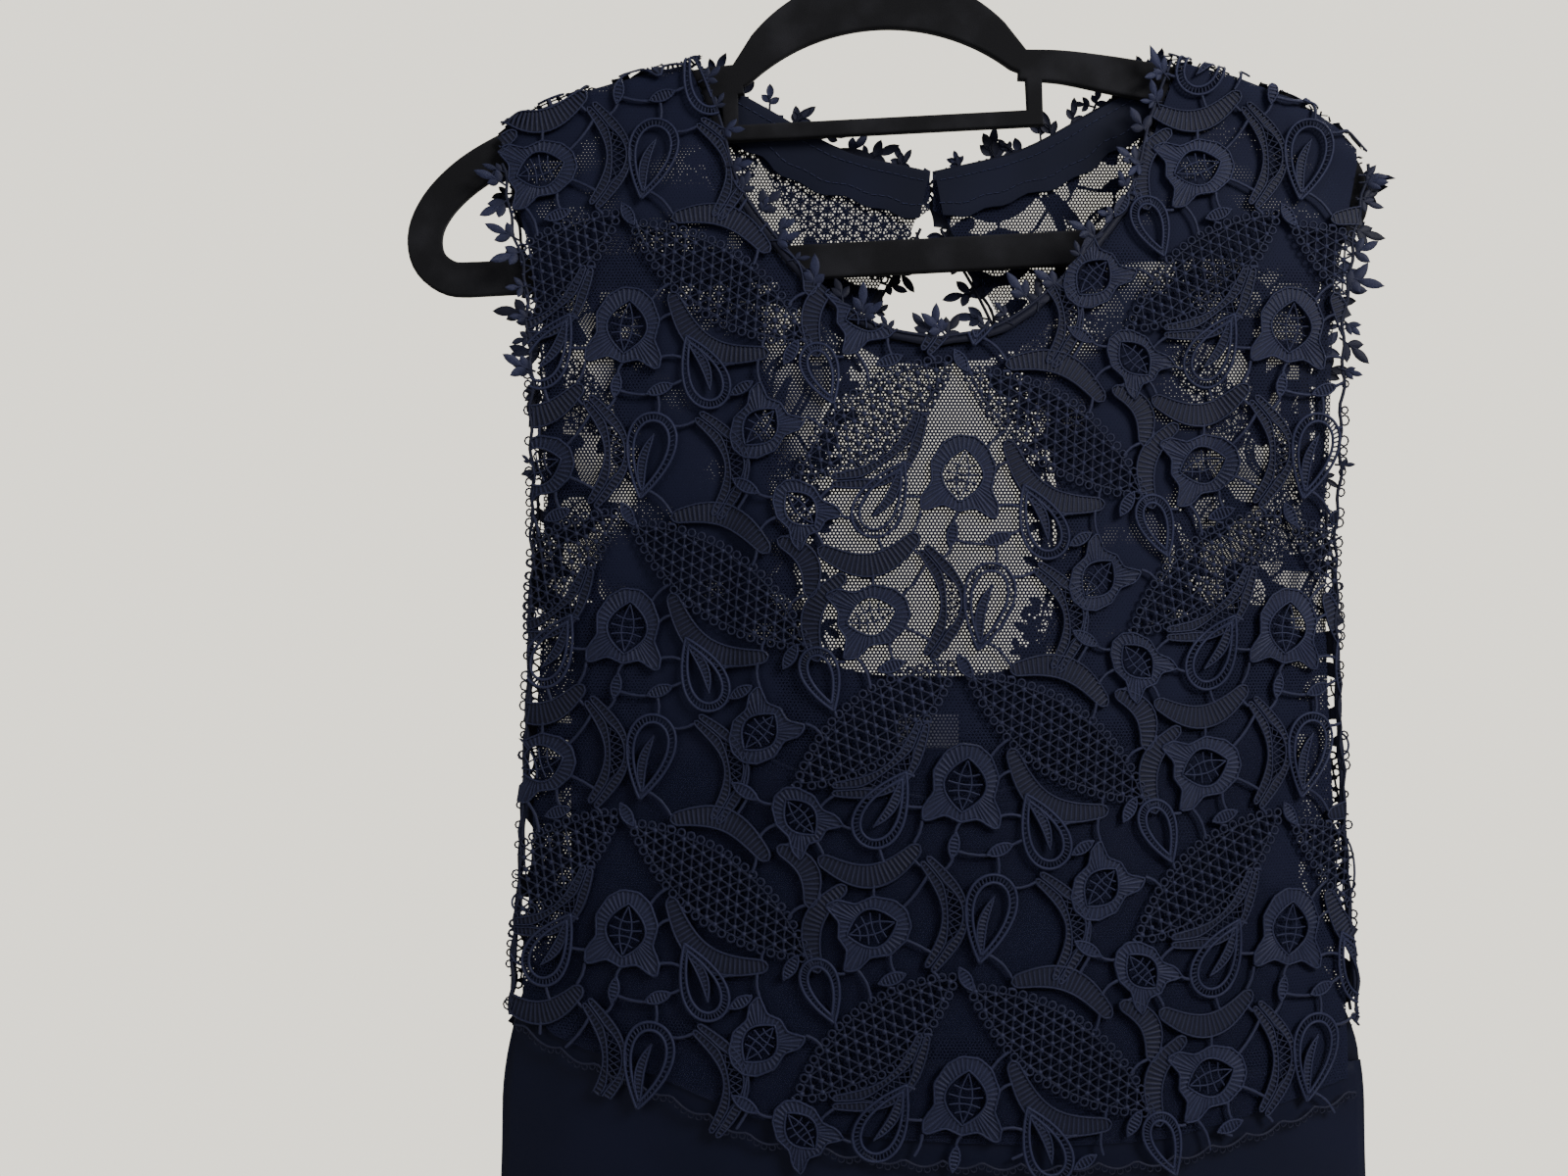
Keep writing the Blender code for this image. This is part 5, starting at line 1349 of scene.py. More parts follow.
NECKS = {FRONT: FRONT_NECK, BACK: BACK_NECK}
OUTLINES = {face: panel_outline(neck, 0.0, lace_foot(8), 5) for face, neck in NECKS.items()}
HOLES = {FRONT: None, BACK: keyhole_outline(0.0, 5)}
for face, side in ((FRONT, "front"), (BACK, "back")):
    lay_motifs("lace_bands_" + side, face, BAND_MOTIFS, "lace_" + side)
    lay_motifs("lace_loops_" + side, face, LOOP_MOTIFS)
    lay_motifs("lace_netting_" + side, face, FINE_MOTIFS)


# %% [markdown]
# ## Edges of the lace
#
# The free edges are the lace's own: sprays of small pointed leaves on stems along the neckline, the
# keyhole and the armholes, and lower down a row of looped eyelets. They are cut out with the lace and
# curl away from the cloth a little. No two sprays are alike, so their turns and sizes are drawn at
# random, from dice that always fall the same way.

# %% Leaves
def spray(work, x, z, heading, size, curl):
    """Three leaves on one stem, pointing away from the edge."""
    def at(along, across, lift):
        c, s = math.cos(heading), math.sin(heading)
        return x + along * c - across * s, z + along * s + across * c, lift + curl * max(along, 0) * 0.35
    for turn, long, start in ((-0.75, 5.2, 1.0), (0.1, 6.6, 3.2), (0.85, 5.0, 1.6)):
        long = long * size * dice.uniform(0.8, 1.15)
        turn = turn + dice.uniform(-0.25, 0.25)
        ct, st = math.cos(turn), math.sin(turn)
        rows = []
        for t in np.linspace(0, 1, 6):
            half = 0.5 * 2.9 * size * math.sin(math.pi * (0.06 + 0.94 * t)) ** 0.75
            row = []
            for s in (-1, -0.55, 0, 0.55, 1):
                along, across = start * size + long * t * ct - half * s * st, long * t * st + half * s * ct
                row.append(at(along, across, 0.5 + 0.75 * (1 - s * s) - 0.3 * (s == 0)))
            rows.append(row)
        work.grid(np.array(rows))
    work.cord([at(-2.5, 0, 0.2), at(1.5, 0, 0.3), at(4.5 * size, 0.2, 0.4)], 1.0, 0.9, sides=4)


def along_line(line, step, start=0.5):
    """Even places along a line, with their headings."""
    run = np.append(0, np.cumsum(np.hypot(*np.diff(line, axis=0).T)))
    for at in np.arange(start * step, run[-1], step):
        x, z = (np.interp(at, run, line[:, k]) for k in (0, 1))
        k = min(np.searchsorted(run, at), len(line) - 1)
        dx, dz = line[k] - line[max(k - 1, 0)]
        yield x, z, math.atan2(dz, dx)


print("places along half a neckline:", len(list(along_line(neck_edge(FRONT_NECK, 1, 0.4, 4), 14.0))))

# %% Edges
RIM_STEP = 4
SPRAYS_TO_Z, ARMPIT_TO_Z = -275, -356   # down the armhole many sprays, then a few, then none
KEYHOLE_SPRAYS_Z = (-190, -396)         # where the keyhole's rim has sprays
EYELETS_FROM_Z, EYELETS_FEW_Z = -262, -385


def rims_of(face):
    """The free edges: line, side that is outside, distance between sprays and their size."""
    for sign in (1, -1):
        yield neck_edge(NECKS[face], sign, 0.4, RIM_STEP), -sign, 14.0, 1.25
        armhole = side_edge(sign, 0.4, RIM_STEP, -560)
        z = armhole[:, 1]
        yield armhole[z > SPRAYS_TO_Z], sign, 13.0, 1.4
        yield armhole[(z <= SPRAYS_TO_Z + RIM_STEP) & (z > ARMPIT_TO_Z)], sign, 60.0, 0.9
        yield armhole[z <= ARMPIT_TO_Z + RIM_STEP], sign, 1000.0, 1.0
        if face == BACK:
            rim = keyhole_outline(0, RIM_STEP)
            rim = rim[: len(rim) // 2] * (sign, 1)
            top, foot = KEYHOLE_SPRAYS_Z
            yield rim[(rim[:, 1] < top) & (rim[:, 1] > foot)], -sign, 13.0, 1.2


def sew_front_rim(work):
    """The front neckline is gathered a little, which makes a fuller cord of it."""
    for sign in (1, -1):
        rim = neck_edge(FRONT_NECK, sign, 2.4, 3)
        rim = rim[rim[:, 1] < -150]
        work.cord(rim, 4.4 + 0.9 * np.sin(rim[:, 1] / 2.3) * np.sin(rim[:, 0] / 4.1), 0.8, -0.2)


def sew_sprays(work, line, outward, step, size):
    for x, z, heading in along_line(line, step):
        away = heading + outward * math.pi / 2
        for _ in range(int(dice.integers(1, 3))):
            turned = away + dice.uniform(-0.9, 0.9)
            at_x = x + dice.uniform(-4, 4) * math.cos(heading)
            at_z = z + dice.uniform(-4, 4) * math.sin(heading)
            spray(work, at_x, at_z, turned, size * dice.uniform(0.65, 1.25), dice.uniform(-0.3, 1.2))


def sew_eyelets(work, line, outward):
    """Looped eyelets down the armhole's side, most of them under the arm."""
    for x, z, heading in along_line(line, 4.6):
        if z < EYELETS_FROM_Z and dice.uniform() < (0.8 if z > EYELETS_FEW_Z else 0.25):
            away = heading + outward * math.pi / 2
            ring(work, x + 1.5 * math.cos(away), z + 1.5 * math.sin(away), dice.uniform(1.5, 2.3), 0.9, 0.3)


def sew_foot(work):
    """The scalloped cord along the lower edge, with its picots."""
    scallops = lace_foot(2.0)
    scallops[:, 1] -= 3.0 * np.abs(np.sin(math.pi * scallops[:, 0] / 17))
    work.cord(scallops, 1.2, 1.0, 0.2)
    for x, z, _ in along_line(scallops, 3.6):
        ring(work, x, z - 1.2, 1.35, 0.7, 0.2)


def lace_edges(face, side):
    work = Sewing()
    if face == FRONT:
        sew_front_rim(work)
    for line, outward, step, size in rims_of(face):
        at_the_side = abs(line[0, 0]) > 150
        wobble = 0.8 * np.sin(line[:, 1] / 3.1) + 0.6 * np.sin(line[:, 1] / 7.3)
        work.cord(line + np.stack([wobble * at_the_side, 0 * wobble], 1), 1.6, 1.2, 0.0)
        sew_sprays(work, line, outward, step, size)
        if at_the_side:
            sew_eyelets(work, line, outward)
    sew_foot(work)
    points, quads = work.arrays()
    made = laid(face, points[:, 0], points[:, 1], points[:, 2] + 0.3)
    return piece("lace_edges_" + side, made, quads if face == FRONT else quads[:, ::-1], LACE,
                 lift=0.25 + 0.4 * points[:, 2])


for face, side in ((FRONT, "front"), (BACK, "back")):
    lace_edges(face, side)

# %% [markdown]
# ## The net and the linings
#
# The net is one thin sheet under the lace, a little smaller than the lace all round, so that its edge
# doesn't show. The linings are satin-faced, with a turned and stitched top edge, and widen towards the
# waist. That of the back reaches up to the keyhole, and that of the front ends lower.

# %% Net sheets
NET_INSET, KEYHOLE_NET_INSET, NET_PAST_HEM = 4.5, 4, 7


def net_foot():
    x = np.arange(-186, 186.1, 12)
    return np.stack([x, hem_z(0) + (hem_z(x) - hem_z(0)) * 0.9 + NET_PAST_HEM], 1)


for face, side in ((FRONT, "front"), (BACK, "back")):
    hole = keyhole_outline(KEYHOLE_NET_INSET, 8) if face == BACK else None
    outline = panel_outline(NECKS[face], NET_INSET, net_foot(), 8)
    cloth("net_sheet_" + side, face, outline, hole, 1, 8, NET[face], "net_" + side)


# %% Linings
LINING_NARROW_Z, LINING_THICK = -500, 0.7
LINING_TOPS = {FRONT: ((168, -404), (110, -420), (60, -442), (0, -453)),
               BACK: ((168, -366), (110, -376), (62, -392), (30, -401), (0, -403))}


def waist_x(share):
    """Where the waist lies, for a share of the way from the middle to the side."""
    x = share * 190.0
    for _ in range(4):
        x = share * (body("half", waist_z(x)) - LOW_EDGE_IN)
    return x


def lining_outline(rows):
    """A lining: its top edge through the given points, straight sides, and a foot along the waist."""
    half = through(rows, 6)
    narrow, top_z = half[0]

    def side(sign):
        end = waist_x(sign)
        foot = waist_z(end) + SEAM_GAP
        z = np.linspace(top_z, foot, 34)[1:]
        x = narrow + (abs(end) - narrow) * ease((LINING_NARROW_Z - z) / (LINING_NARROW_Z - foot))
        return np.stack([sign * x, z], 1)
    shares = np.linspace(1, -1, 40)[1:-1]
    foot = np.array([(waist_x(s), waist_z(waist_x(s)) + SEAM_GAP) for s in shares])
    return np.vstack([half[::-1], side(1), foot, side(-1)[::-1], half[:-1] * (-1, 1)])


def stitches(work, line, length=2.6, gap=1.2, lift=0.0, thread=0.45):
    """A row of machine stitches along a line."""
    for x, z, heading in along_line(line, length + gap):
        dx, dz = math.cos(heading) * length / 2, math.sin(heading) * length / 2
        stitch = [(x - dx, z - dz, lift - 0.15), (x, z, lift), (x + dx, z + dz, lift - 0.15)]
        work.cord(stitch, thread, 0.4, sides=4)


for face, side in ((FRONT, "front"), (BACK, "back")):
    outline = lining_outline(LINING_TOPS[face])
    cloth("lining_cloth_" + side, face, outline, None, 2, 9, LINING, "lining_" + side, thick=LINING_THICK)
    work = Sewing()
    half = through(LINING_TOPS[face], 4)
    top = np.vstack([half[::-1], half[1:] * (-1, 1)])
    top = top[np.argsort(top[:, 0])]
    depth = layer(2, top[:, 0], top[:, 1])
    work.cord(np.column_stack([top, depth - 0.2]), 1.6, 1.0)
    stitches(work, top - (0, 6), lift=float(depth.mean()) + 0.1)
    stitches(work, top - (0, 6), lift=float(depth.mean()) - 1.15)
    points, quads = work.arrays()
    piece("lining_edge_" + side, laid(face, *points.T), quads, THREAD)


# %% [markdown]
# ## Facings and bindings
#
# A narrow band of the lining cloth backs the neckline, and a bias strip binds each armhole. Each is
# drawn from the edge that it follows, moved in. Its section has a turned edge on both sides and flat
# faces between them, and a few points close to each edge keep the faces flat in smooth shading.

# %% Bands along the edges
FRONT_FACING_WIDE, BACK_FACING_WIDE, BINDING_WIDE = 10, 16, 5
FACING_INSET, BINDING_INSET = 2.5, 5.5  # from the lace's edge
FACING_TOP, BINDING_TOP = 14, 22        # from the shoulder seam down to their upper ends
BINDING_FOOT = 16                       # from a binding's lower end down to the armhole's foot


def band(name, face, line, wide, inward, material, node, middle_gap=0.0, start=0.0, reach=1.0):
    """A stitched band beside a line; start and reach say where it lies, as shares of its width."""
    dx, dz = np.gradient(line[:, 0]), np.gradient(line[:, 1])
    step = np.arange(len(line))
    k = wide * inward / np.hypot(dx, dz) * (1 + 0.1 * np.sin(0.9 * step) * np.sin(0.37 * step + 1))
    far = line + np.stack([-dz * k, dx * k], 1)
    side = 1 if line[0, 0] > 0 else -1
    section = ((start, -.26), (start, .1), (start + .03, .16), (.1, .16), (.5, .2 if wide < 12 else .16),
               (.9, .16), (reach - .03, .16), (reach, .1), (reach, -.26), (reach - .03, -.32), (.9, -.32),
               (.5, -.32), (.1, -.32), (start + .03, -.32))
    rows = []
    for t, lift in section:
        row = line + (far - line) * t
        if middle_gap:
            row[:, 0] = side * np.maximum(side * row[:, 0], middle_gap)
        rows.append(np.column_stack([row, layer(2, row[:, 0], row[:, 1]) - 0.5 + lift]))
    work = Sewing()
    work.grid(np.stack(rows, 1), False, True)
    points, quads = work.arrays()
    piece(name, laid(face, *points.T), quads, material, node)
    sewn = Sewing()
    for t in (0.16, 0.86):
        stitches(sewn, line + (far - line) * t)
    points, quads = sewn.arrays()
    x, z, lift = points.T
    both = np.vstack([laid(face, x, z, lift + layer(2, x, z) + offset) for offset in (-.2, -1.2)])
    piece(name + "_stitches", both, np.vstack([quads, quads + len(points)]), THREAD)


def facing_line(neck, sign):
    """Half a neckline for a facing to follow, up to just below the shoulder seam."""
    line = neck_edge(neck, sign, FACING_INSET, 4)
    return line[line[:, 1] < seam_z(line[:, 0]) - FACING_TOP]


def binding_line(sign):
    """An armhole for a binding to follow."""
    line = side_edge(sign, 0.0, 4, -400)
    keep = (line[:, 1] < seam_z(line[:, 0]) - BINDING_TOP) & (line[:, 1] > ARMHOLE_FOOT_Z + BINDING_FOOT)
    return line[keep] - (sign * BINDING_INSET, 0)


whole_neck = np.vstack([facing_line(FRONT_NECK, 1), facing_line(FRONT_NECK, -1)[-2::-1]])
band("neck_band_front", FRONT, whole_neck, FRONT_FACING_WIDE, 1, BINDING, "neck_facing_front", start=-0.19)
for sign, side in ((-1, "left"), (1, "right")):
    band("neck_band_back_" + side, BACK, facing_line(BACK_NECK, sign), BACK_FACING_WIDE, sign, FACING,
         "neck_facing_back_" + side, SLIT_WIDTH, start=-0.1, reach=1.25)
    for face, face_name in ((FRONT, "front"), (BACK, "back")):
        node = "armhole_binding_" + face_name + "_" + side
        band(node.replace("binding", "tape"), face, binding_line(sign), BINDING_WIDE, -sign, BINDING, node)


# %% [markdown]
# ## The skirt
#
# The skirt is a plain crepe, cut in two panels that widen to the hem. A cloth simulation would give it
# folds of its own choosing; here the folds are placed, so that those below the lace are where the
# photograph has them. Each panel is a shell with a turned hem and a line of blind stitches.

# %% Skirt panels
HEM_TURNED = 40                         # how much of the cloth is turned up at the hem, in millimetres


def shell_faces(shape):
    """The faces of two grids of points, one behind the other, joined along their rim."""
    n = shape[0] * shape[1]
    index = np.arange(n).reshape(shape)
    quads = np.stack([index[:-1, :-1], index[1:, :-1], index[1:, 1:], index[:-1, 1:]], -1).reshape(-1, 4)
    loop = np.concatenate([index[0, :-1], index[:-1, -1], index[-1, :0:-1], index[:0:-1, 0]])
    after = np.roll(loop, -1)
    return np.vstack([quads, quads[:, ::-1] + n, np.stack([loop, after, after + n, loop + n], 1)])


def skirt_panel(face, side):
    rows, columns = 120, 110
    share = np.linspace(-1, 1, columns + 1)
    top_x = np.array([waist_x(s) for s in share])
    t = np.linspace(0, 1, rows + 1)[:, None] ** 1.05
    z = waist_z(top_x) + (HEM_Z - waist_z(top_x)) * t
    x = share * (body("half", z) - LOW_EDGE_IN)
    near_hem = ease((HEM_Z + HEM_TURNED + 20 - z) / 3)
    turned = 0.35 * ease((HEM_Z + HEM_TURNED + 1 - z) / 1.5)
    small = 0.5 * np.sin(x / 11 + 2 * np.sin(z / 90)) * np.sin(z / 70) * ease((waist_z(x) - 40 - z) / 80)
    outer = laid(face, x, z, layer(2, x, z) + turned + small * (1 - near_hem * 0.5))
    inner = laid(face, x, z, layer(2, x, z) - 0.8 + small * (1 - near_hem * 0.5))
    faces = shell_faces(z.shape)
    made = piece("skirt_cloth_" + side, np.vstack([outer.reshape(-1, 3), inner.reshape(-1, 3)]),
                 faces if face == FRONT else faces[:, ::-1], CREPE, "skirt_" + side)
    work = Sewing()
    stitches(work, np.stack([x[-1], z[-1] + HEM_TURNED], 1), 1.2, 5.0, 0.25, 0.35)
    for edge in (0, -1):
        work.cord(np.column_stack([x[1:-1, edge], z[1:-1, edge], np.full(rows - 1, -0.5)]), 0.9, 0.5)
    points, quads = work.arrays()
    x, z, lift = points.T
    piece("skirt_stitches_" + side, laid(face, x, z, lift + layer(2, x, z)), quads, THREAD)
    return made


SKIRTS = {face: skirt_panel(face, side) for face, side in ((FRONT, "front"), (BACK, "back"))}

# %% [markdown]
# ## The side seams
#
# Front and back meet in a seam on each side. On the real gown it is sewn shut, so a rounded strip here
# reaches from the one panel's edge to the other's. Along the lace it is a thick corded edge.

# %% Side seams
def side_seam(name, x, z, count, wide, material):
    """A strip with a rounded section from the front panel to the back one; count is their layer."""
    lift = layer(count, x, z) - 0.4 if count else np.full(len(x), 0.3)
    front, back = laid(FRONT, x, z, lift), laid(BACK, x, z, lift)
    middle = 0.5 * (front + back)
    reach = 0.5 * (back[:, 1] - front[:, 1]) + 0.4
    wavy = 0.35 * np.sin(z / 3.7) * (count == 0)
    rows = [middle + np.stack([(wide + wavy) * math.cos(a), reach * math.sin(a), 0 * z], 1)
            for a in np.arange(8) * math.pi / 4]
    work = Sewing()
    work.grid(np.stack(rows, 1), False, True)
    piece(name, *work.arrays(), material, lift=np.full(work.count, 0.7))


for sign, side in ((-1, "left"), (1, "right")):
    z = np.linspace(waist_z(waist_x(sign)), HEM_Z + 0.5, 160)
    side_seam("skirt_seam_" + side, sign * (body("half", z) - LOW_EDGE_IN), z, 2, 1.1, CREPE)
    z = np.arange(ARMHOLE_FOOT_Z - 2, -546.0, -1.5)
    half = np.minimum(body("half", z), LACE_LOW_HALF)
    side_seam("bodice_seam_" + side, sign * (half - 0.6), z, 0, 1.5, LACE)


# %% [markdown]
# ## Label, button and loops
#
# The small woven label sits inside the top of the back lining, where it shows through the front. It is
# blank. The nape closes with a covered button and a thread loop, and thin loops of cord stand out at
# the side seams.

# %% Label
LABEL_SIZE, LABEL_Z = (29.0, 16.0), -428.0


def label():
    """A thin woven piece that curls a little between its sewn ends."""
    wide, tall = LABEL_SIZE
    x, z = np.meshgrid(np.linspace(-wide / 2, wide / 2, 25), LABEL_Z + np.linspace(tall / 2, -tall / 2, 13))
    curl = 0.25 * (1 + np.sin(x / 5.0) * 0.4) * (1 - (2 * x / wide) ** 4)
    lift = layer(2, x, z) - CLOTH_THICK - LAYER_GAP - curl
    front, back = laid(BACK, x, z, lift - 0.35), laid(BACK, x, z, lift)
    points = np.vstack([front.reshape(-1, 3), back.reshape(-1, 3)])
    piece("label_cloth", points, shell_faces(x.shape), LABEL, "label")


label()


# %% Button
BUTTON_AT = (5.0, BACK_NECK_Z - 8)
BUTTON_PROFILE = ((0.2, 3.5), (1.4, 3.4), (2.7, 2.9), (3.8, 2.0), (4.4, 1.0), (4.5, 0.4), (4.2, 0.0),
                  (2.0, 0.0), (0.1, 0.0))               # radius and height, from the top of the dome down


def by_the_nape(lift):
    """The middle of the closure, at a height above the back."""
    return laid(BACK, np.array([BUTTON_AT[0]]), np.array([BUTTON_AT[1]]), np.array([lift]))[0]


def button():
    """A turned dome whose cover puckers where it is gathered under the rim."""
    x, y, z = by_the_nape(1.6)
    a = np.arange(32) * math.pi / 16
    pucker = 1 + 0.02 * np.sin(8 * a)
    rings = [np.stack([x + r * pucker * np.cos(a), np.full(32, y + high), z + r * pucker * np.sin(a)], 1)
             for r, high in BUTTON_PROFILE]
    work = Sewing()
    work.grid(np.stack(rings), False, True)
    piece("button_cover", *work.arrays(), BINDING, "nape_button")


button()


# %% Loops
def tube(name, path, radius, material, *nodes, sides=10):
    """A round cord along points in space, in millimetres."""
    path = np.asarray(path, float)
    run = np.gradient(path, axis=0)
    run /= np.linalg.norm(run, axis=1, keepdims=True)
    across = np.cross(run, (0, 1, 0))
    across /= np.maximum(np.linalg.norm(across, axis=1, keepdims=True), 1e-9)
    up = np.cross(across, run)
    rows = np.stack([path + radius * (math.cos(a) * across + math.sin(a) * up)
                     for a in np.arange(sides) * 2 * math.pi / sides], 1)
    rows = np.concatenate([path[None, :1].repeat(sides, 1), rows, path[None, -1:].repeat(sides, 1)])
    work = Sewing()
    work.grid(rows, False, True)
    return piece(name, *work.arrays(), material, *nodes)


LOOP_CORD_R, LOOP_ROUND_R, LOOP_SPREAD, LOOP_REACH = 0.7, 5.7, 1.4, 16
SIDE_CORD_R = 0.55
SIDE_LOOPS = ((-432, 11, 5, 1), (-490, 29, 5, 1), (-505, 8, 4, -1))     # height, how tall, how far out, side


def nape_loop():
    base = by_the_nape(2.6)
    a = np.radians(np.linspace(-150, 150, 40))
    round_button = base + LOOP_ROUND_R * np.stack([np.cos(a), 0 * a, np.sin(a)], 1)
    ends = [base + (-LOOP_REACH, 0, side * LOOP_SPREAD) for side in (-1, 1)]
    path = np.vstack([ends[:1], round_button, ends[1:]])
    tube("nape_cord", path, LOOP_CORD_R, THREAD, "nape_loop")


def side_loops():
    t = np.linspace(0, math.pi, 16)
    for k, (z, tall, out, sign) in enumerate(SIDE_LOOPS):
        x = GOWN_SHIFT + sign * (body("half", z) - 1.5 + out * np.sin(t))
        path = np.stack([x, 0.6 * np.sin(2 * t), z + 0.5 * tall * np.cos(t)], 1)
        tube("side_loop_%d" % k, path, SIDE_CORD_R, THREAD)


nape_loop()
side_loops()

# %% [markdown]
# ## The hanger
#
# The hanger is a flat plate with rounded edges, flocked all over: an arch, two arms with end loops, a
# trouser bar and a small bar for ties. Its outline is joined from simple strips. A two-dimensional
# curve with a round bevel turns the outline into a plate whose edges roll over softly. All sizes are
# measured on the hanger's own drawing, downwards from the top of its arch.

# %% Outline of the hanger
HANGER_EDGE = 1.3                       # radius of the rolled edge
ARCH_OUTER_R, ARCH_INNER_R, ARCH_BAND, ARCH_INNER_HALF = 79, 94, 26, 60
ARCH_FOOT = ((68, 39.2), (72, 41.5), (70, 52.2))
BAR_HALF, BAR_DROP, BAR_HEIGHT = 195, 132, 16
TIE_BAR_HALF, TIE_BAR_DROP, TIE_BAR_HEIGHT = 74.1, 71, 7.5
TIE_POST_X, TIE_POST_WIDE, TIE_POST_TOP = 70.5, 7.3, 45


def plank(x0, x1, drop0, drop1):
    return [(x0, drop0), (x1, drop0), (x1, drop1), (x0, drop1)]


def arch():
    """The arch between the arms: a wide outer curve, a flatter inner one, and a foot on each side."""
    a = np.radians(np.arange(-48, 49, 2))
    outer = np.stack([ARCH_OUTER_R * np.sin(a), ARCH_OUTER_R * (1 - np.cos(a))], 1)
    low = math.asin(ARCH_INNER_HALF / ARCH_INNER_R)
    b = np.linspace(low, -low, 45)
    inner = np.stack([ARCH_INNER_R * np.sin(b), ARCH_BAND + ARCH_INNER_R * (1 - np.cos(b))], 1)
    return np.vstack([outer, ARCH_FOOT, inner, [(-x, drop) for x, drop in ARCH_FOOT[::-1]]])


def arm_shape():
    """The right arm, out along its middle line and round its end."""
    arm = through(np.stack([ARM["x"], ARM["drop"]], 1), 3)
    run = np.append(0, np.cumsum(np.hypot(*np.diff(arm, axis=0).T)))
    key = np.append(0, np.cumsum(np.hypot(np.diff(ARM["x"]), np.diff(ARM["drop"]))))
    widths = np.interp(run * key[-1] / run[-1], key, ARM["wide"])
    sides = side_line(arm[:, 0], arm[:, 1], widths)
    return np.vstack([np.stack(sides[0], 1), np.stack(sides[1], 1)[::-1]])


def hanger_shapes():
    """All strips of the hanger, which overlap."""
    right, half_bar, half_tie = arm_shape(), 0.5 * BAR_HEIGHT, 0.5 * TIE_BAR_HEIGHT
    bar = plank(-BAR_HALF, BAR_HALF, BAR_DROP - half_bar, BAR_DROP + half_bar)
    tie_bar = plank(-TIE_BAR_HALF, TIE_BAR_HALF, TIE_BAR_DROP - half_tie, TIE_BAR_DROP + half_tie)
    posts = [plank(s * TIE_POST_X - 0.5 * TIE_POST_WIDE, s * TIE_POST_X + 0.5 * TIE_POST_WIDE,
                   TIE_POST_TOP, TIE_BAR_DROP) for s in (1, -1)]
    return [right, right * (-1, 1), arch(), bar, tie_bar, *posts]


def joined_loops(shapes):
    """The boundary lines of overlapping outlines."""
    verts, faces = [], []
    for shape in shapes:
        shape = np.asarray(shape, float)
        x, z = shape.T
        if np.sum(x * np.roll(z, -1) - np.roll(x, -1) * z) < 0:
            shape = shape[::-1]
        faces.append(list(range(len(verts), len(verts) + len(shape))))
        verts += [Vector(p) for p in shape]
    co, _, tris, _, _, owners = delaunay_2d_cdt(verts, [], faces, 0, 0.05)
    edges = {(a, b) for t, o in zip(tris, owners) if o for a, b in ((t[0], t[1]), (t[1], t[2]), (t[2], t[0]))}
    onward = {a: b for a, b in edges if (b, a) not in edges}
    loops = []
    while onward:
        first, here = onward.popitem()
        loop = [first]
        while here != first:
            loop.append(here)
            here = onward.pop(here)
        loops.append(np.array([tuple(co[i]) for i in loop]))
    return loops


print("boundary lines of the hanger:", len(joined_loops(hanger_shapes())))


# %% Hanger
def hanger_plate():
    """The outline as a curve, thickened and with rounded edges, turned into a mesh."""
    curve = bpy.data.curves.new("hanger_plate", "CURVE")
    curve.dimensions = "2D"
    curve.fill_mode = "BOTH"
    curve.extrude = (HANGER_THICK / 2 - HANGER_EDGE) / 1000
    curve.bevel_depth = HANGER_EDGE / 1000
    curve.bevel_resolution = 3
    curve.offset = -HANGER_EDGE / 1000
    for loop in joined_loops(hanger_shapes()):
        x, z = hung(loop[:, 0], loop[:, 1])
        keep = np.hypot(x - np.roll(x, 1), z - np.roll(z, 1)) > 0.8
        x, z = x[keep] / 1000, z[keep] / 1000
        spline = curve.splines.new("POLY")
        spline.points.add(len(x) - 1)
        spline.points.foreach_set("co", np.stack([x, z, 0 * x, 0 * x + 1], 1).ravel())
        spline.use_cyclic_u = True
    plate = bpy.data.objects.new("hanger_plate", curve)
    bpy.context.scene.collection.objects.link(plate)
    mesh = bpy.data.meshes.new_from_object(plate.evaluated_get(bpy.context.evaluated_depsgraph_get()))
    bpy.data.objects.remove(plate)
    return mesh


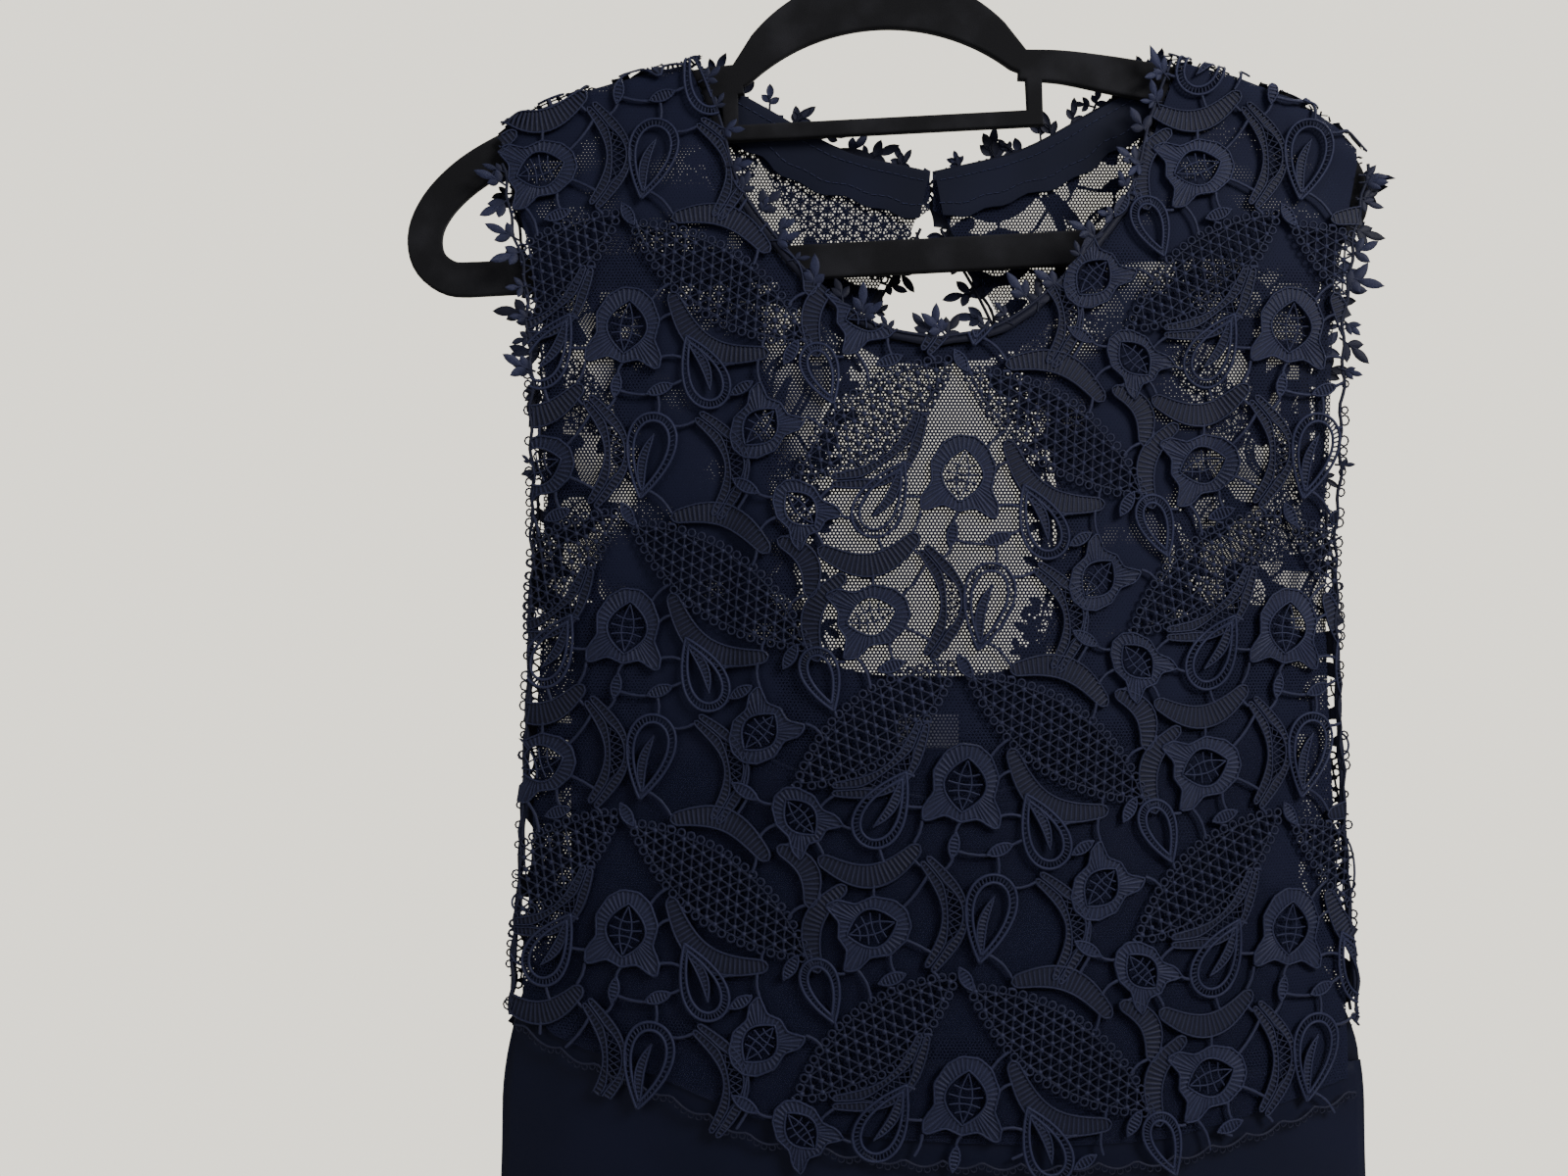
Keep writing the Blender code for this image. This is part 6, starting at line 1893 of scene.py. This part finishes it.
def hanger():
    """The plate, drawn lying, is stood up and flocked."""
    mesh = hanger_plate()
    points = np.empty(len(mesh.vertices) * 3)
    mesh.vertices.foreach_get("co", points)
    x, z, y = points.reshape(-1, 3).T
    mesh.vertices.foreach_set("co", np.stack([x, -y, z], 1).ravel())
    mesh.materials.clear()
    mesh.materials.append(FLOCK)
    mesh.shade_smooth()
    mesh.set_sharp_from_angle(angle=math.radians(40))
    made = bpy.data.objects.new("hanger_flocked", mesh)
    bpy.context.scene.collection.objects.link(made)
    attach(made, "root")
    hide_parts("hanger_body")
    print("hanger faces:", len(mesh.polygons))


hanger()


# %% Hook
HOOK_INNER_R, HOOK_WIRE_R = 18, 1.8
SHANK = ((0, 80), (0, 56), (1.5, 49), (8, 41))          # x, and how far below the hanging point


def hook():
    """The wire stands in the arch, swings out and turns over the rail."""
    radius = HOOK_INNER_R + HOOK_WIRE_R
    x, drop = np.array(SHANK).T
    a = np.radians(np.arange(-20, 206, 6))
    turn = np.stack([radius * np.cos(a), radius * np.sin(a) - HOOK_INNER_R], 1)
    line = through(np.vstack([np.stack(hung(x, drop - HOOK_DROP), 1), turn]), 2.5)
    path = np.stack([line[:, 0], 0 * line[:, 0], line[:, 1]], 1)
    tube("hook_wire", path, HOOK_WIRE_R, STEEL, "hanger_hook", sides=20)


hook()

# %% [markdown]
# ## The size of the linings
#
# The pieces of each side are gathered by name, and each lining's cut is printed with its width, its
# height and its area.

def area_of(outline):
    """The area inside an outline, in square metres."""
    x, z = outline.T
    return 0.5e-6 * abs(np.dot(x, np.roll(z, -1)) - np.dot(z, np.roll(x, -1)))


def sewn_on(side, *starts):
    """The pieces of one side whose names start so."""
    return [o for o in bpy.data.objects if o.name.startswith(starts) and side in o.name]


for face, side in ((FRONT, "front"), (BACK, "back")):
    sewn_on(side, "lace_", "neck_band_", "armhole_tape_")
    cut = lining_outline(LINING_TOPS[face])
    size = cut.max(0) - cut.min(0)
    print("lining cut:", side, size.round(), round(area_of(cut), 4))
    sewn_on(side, "lining_edge_")
    sewn_on(side, "skirt_stitches_")
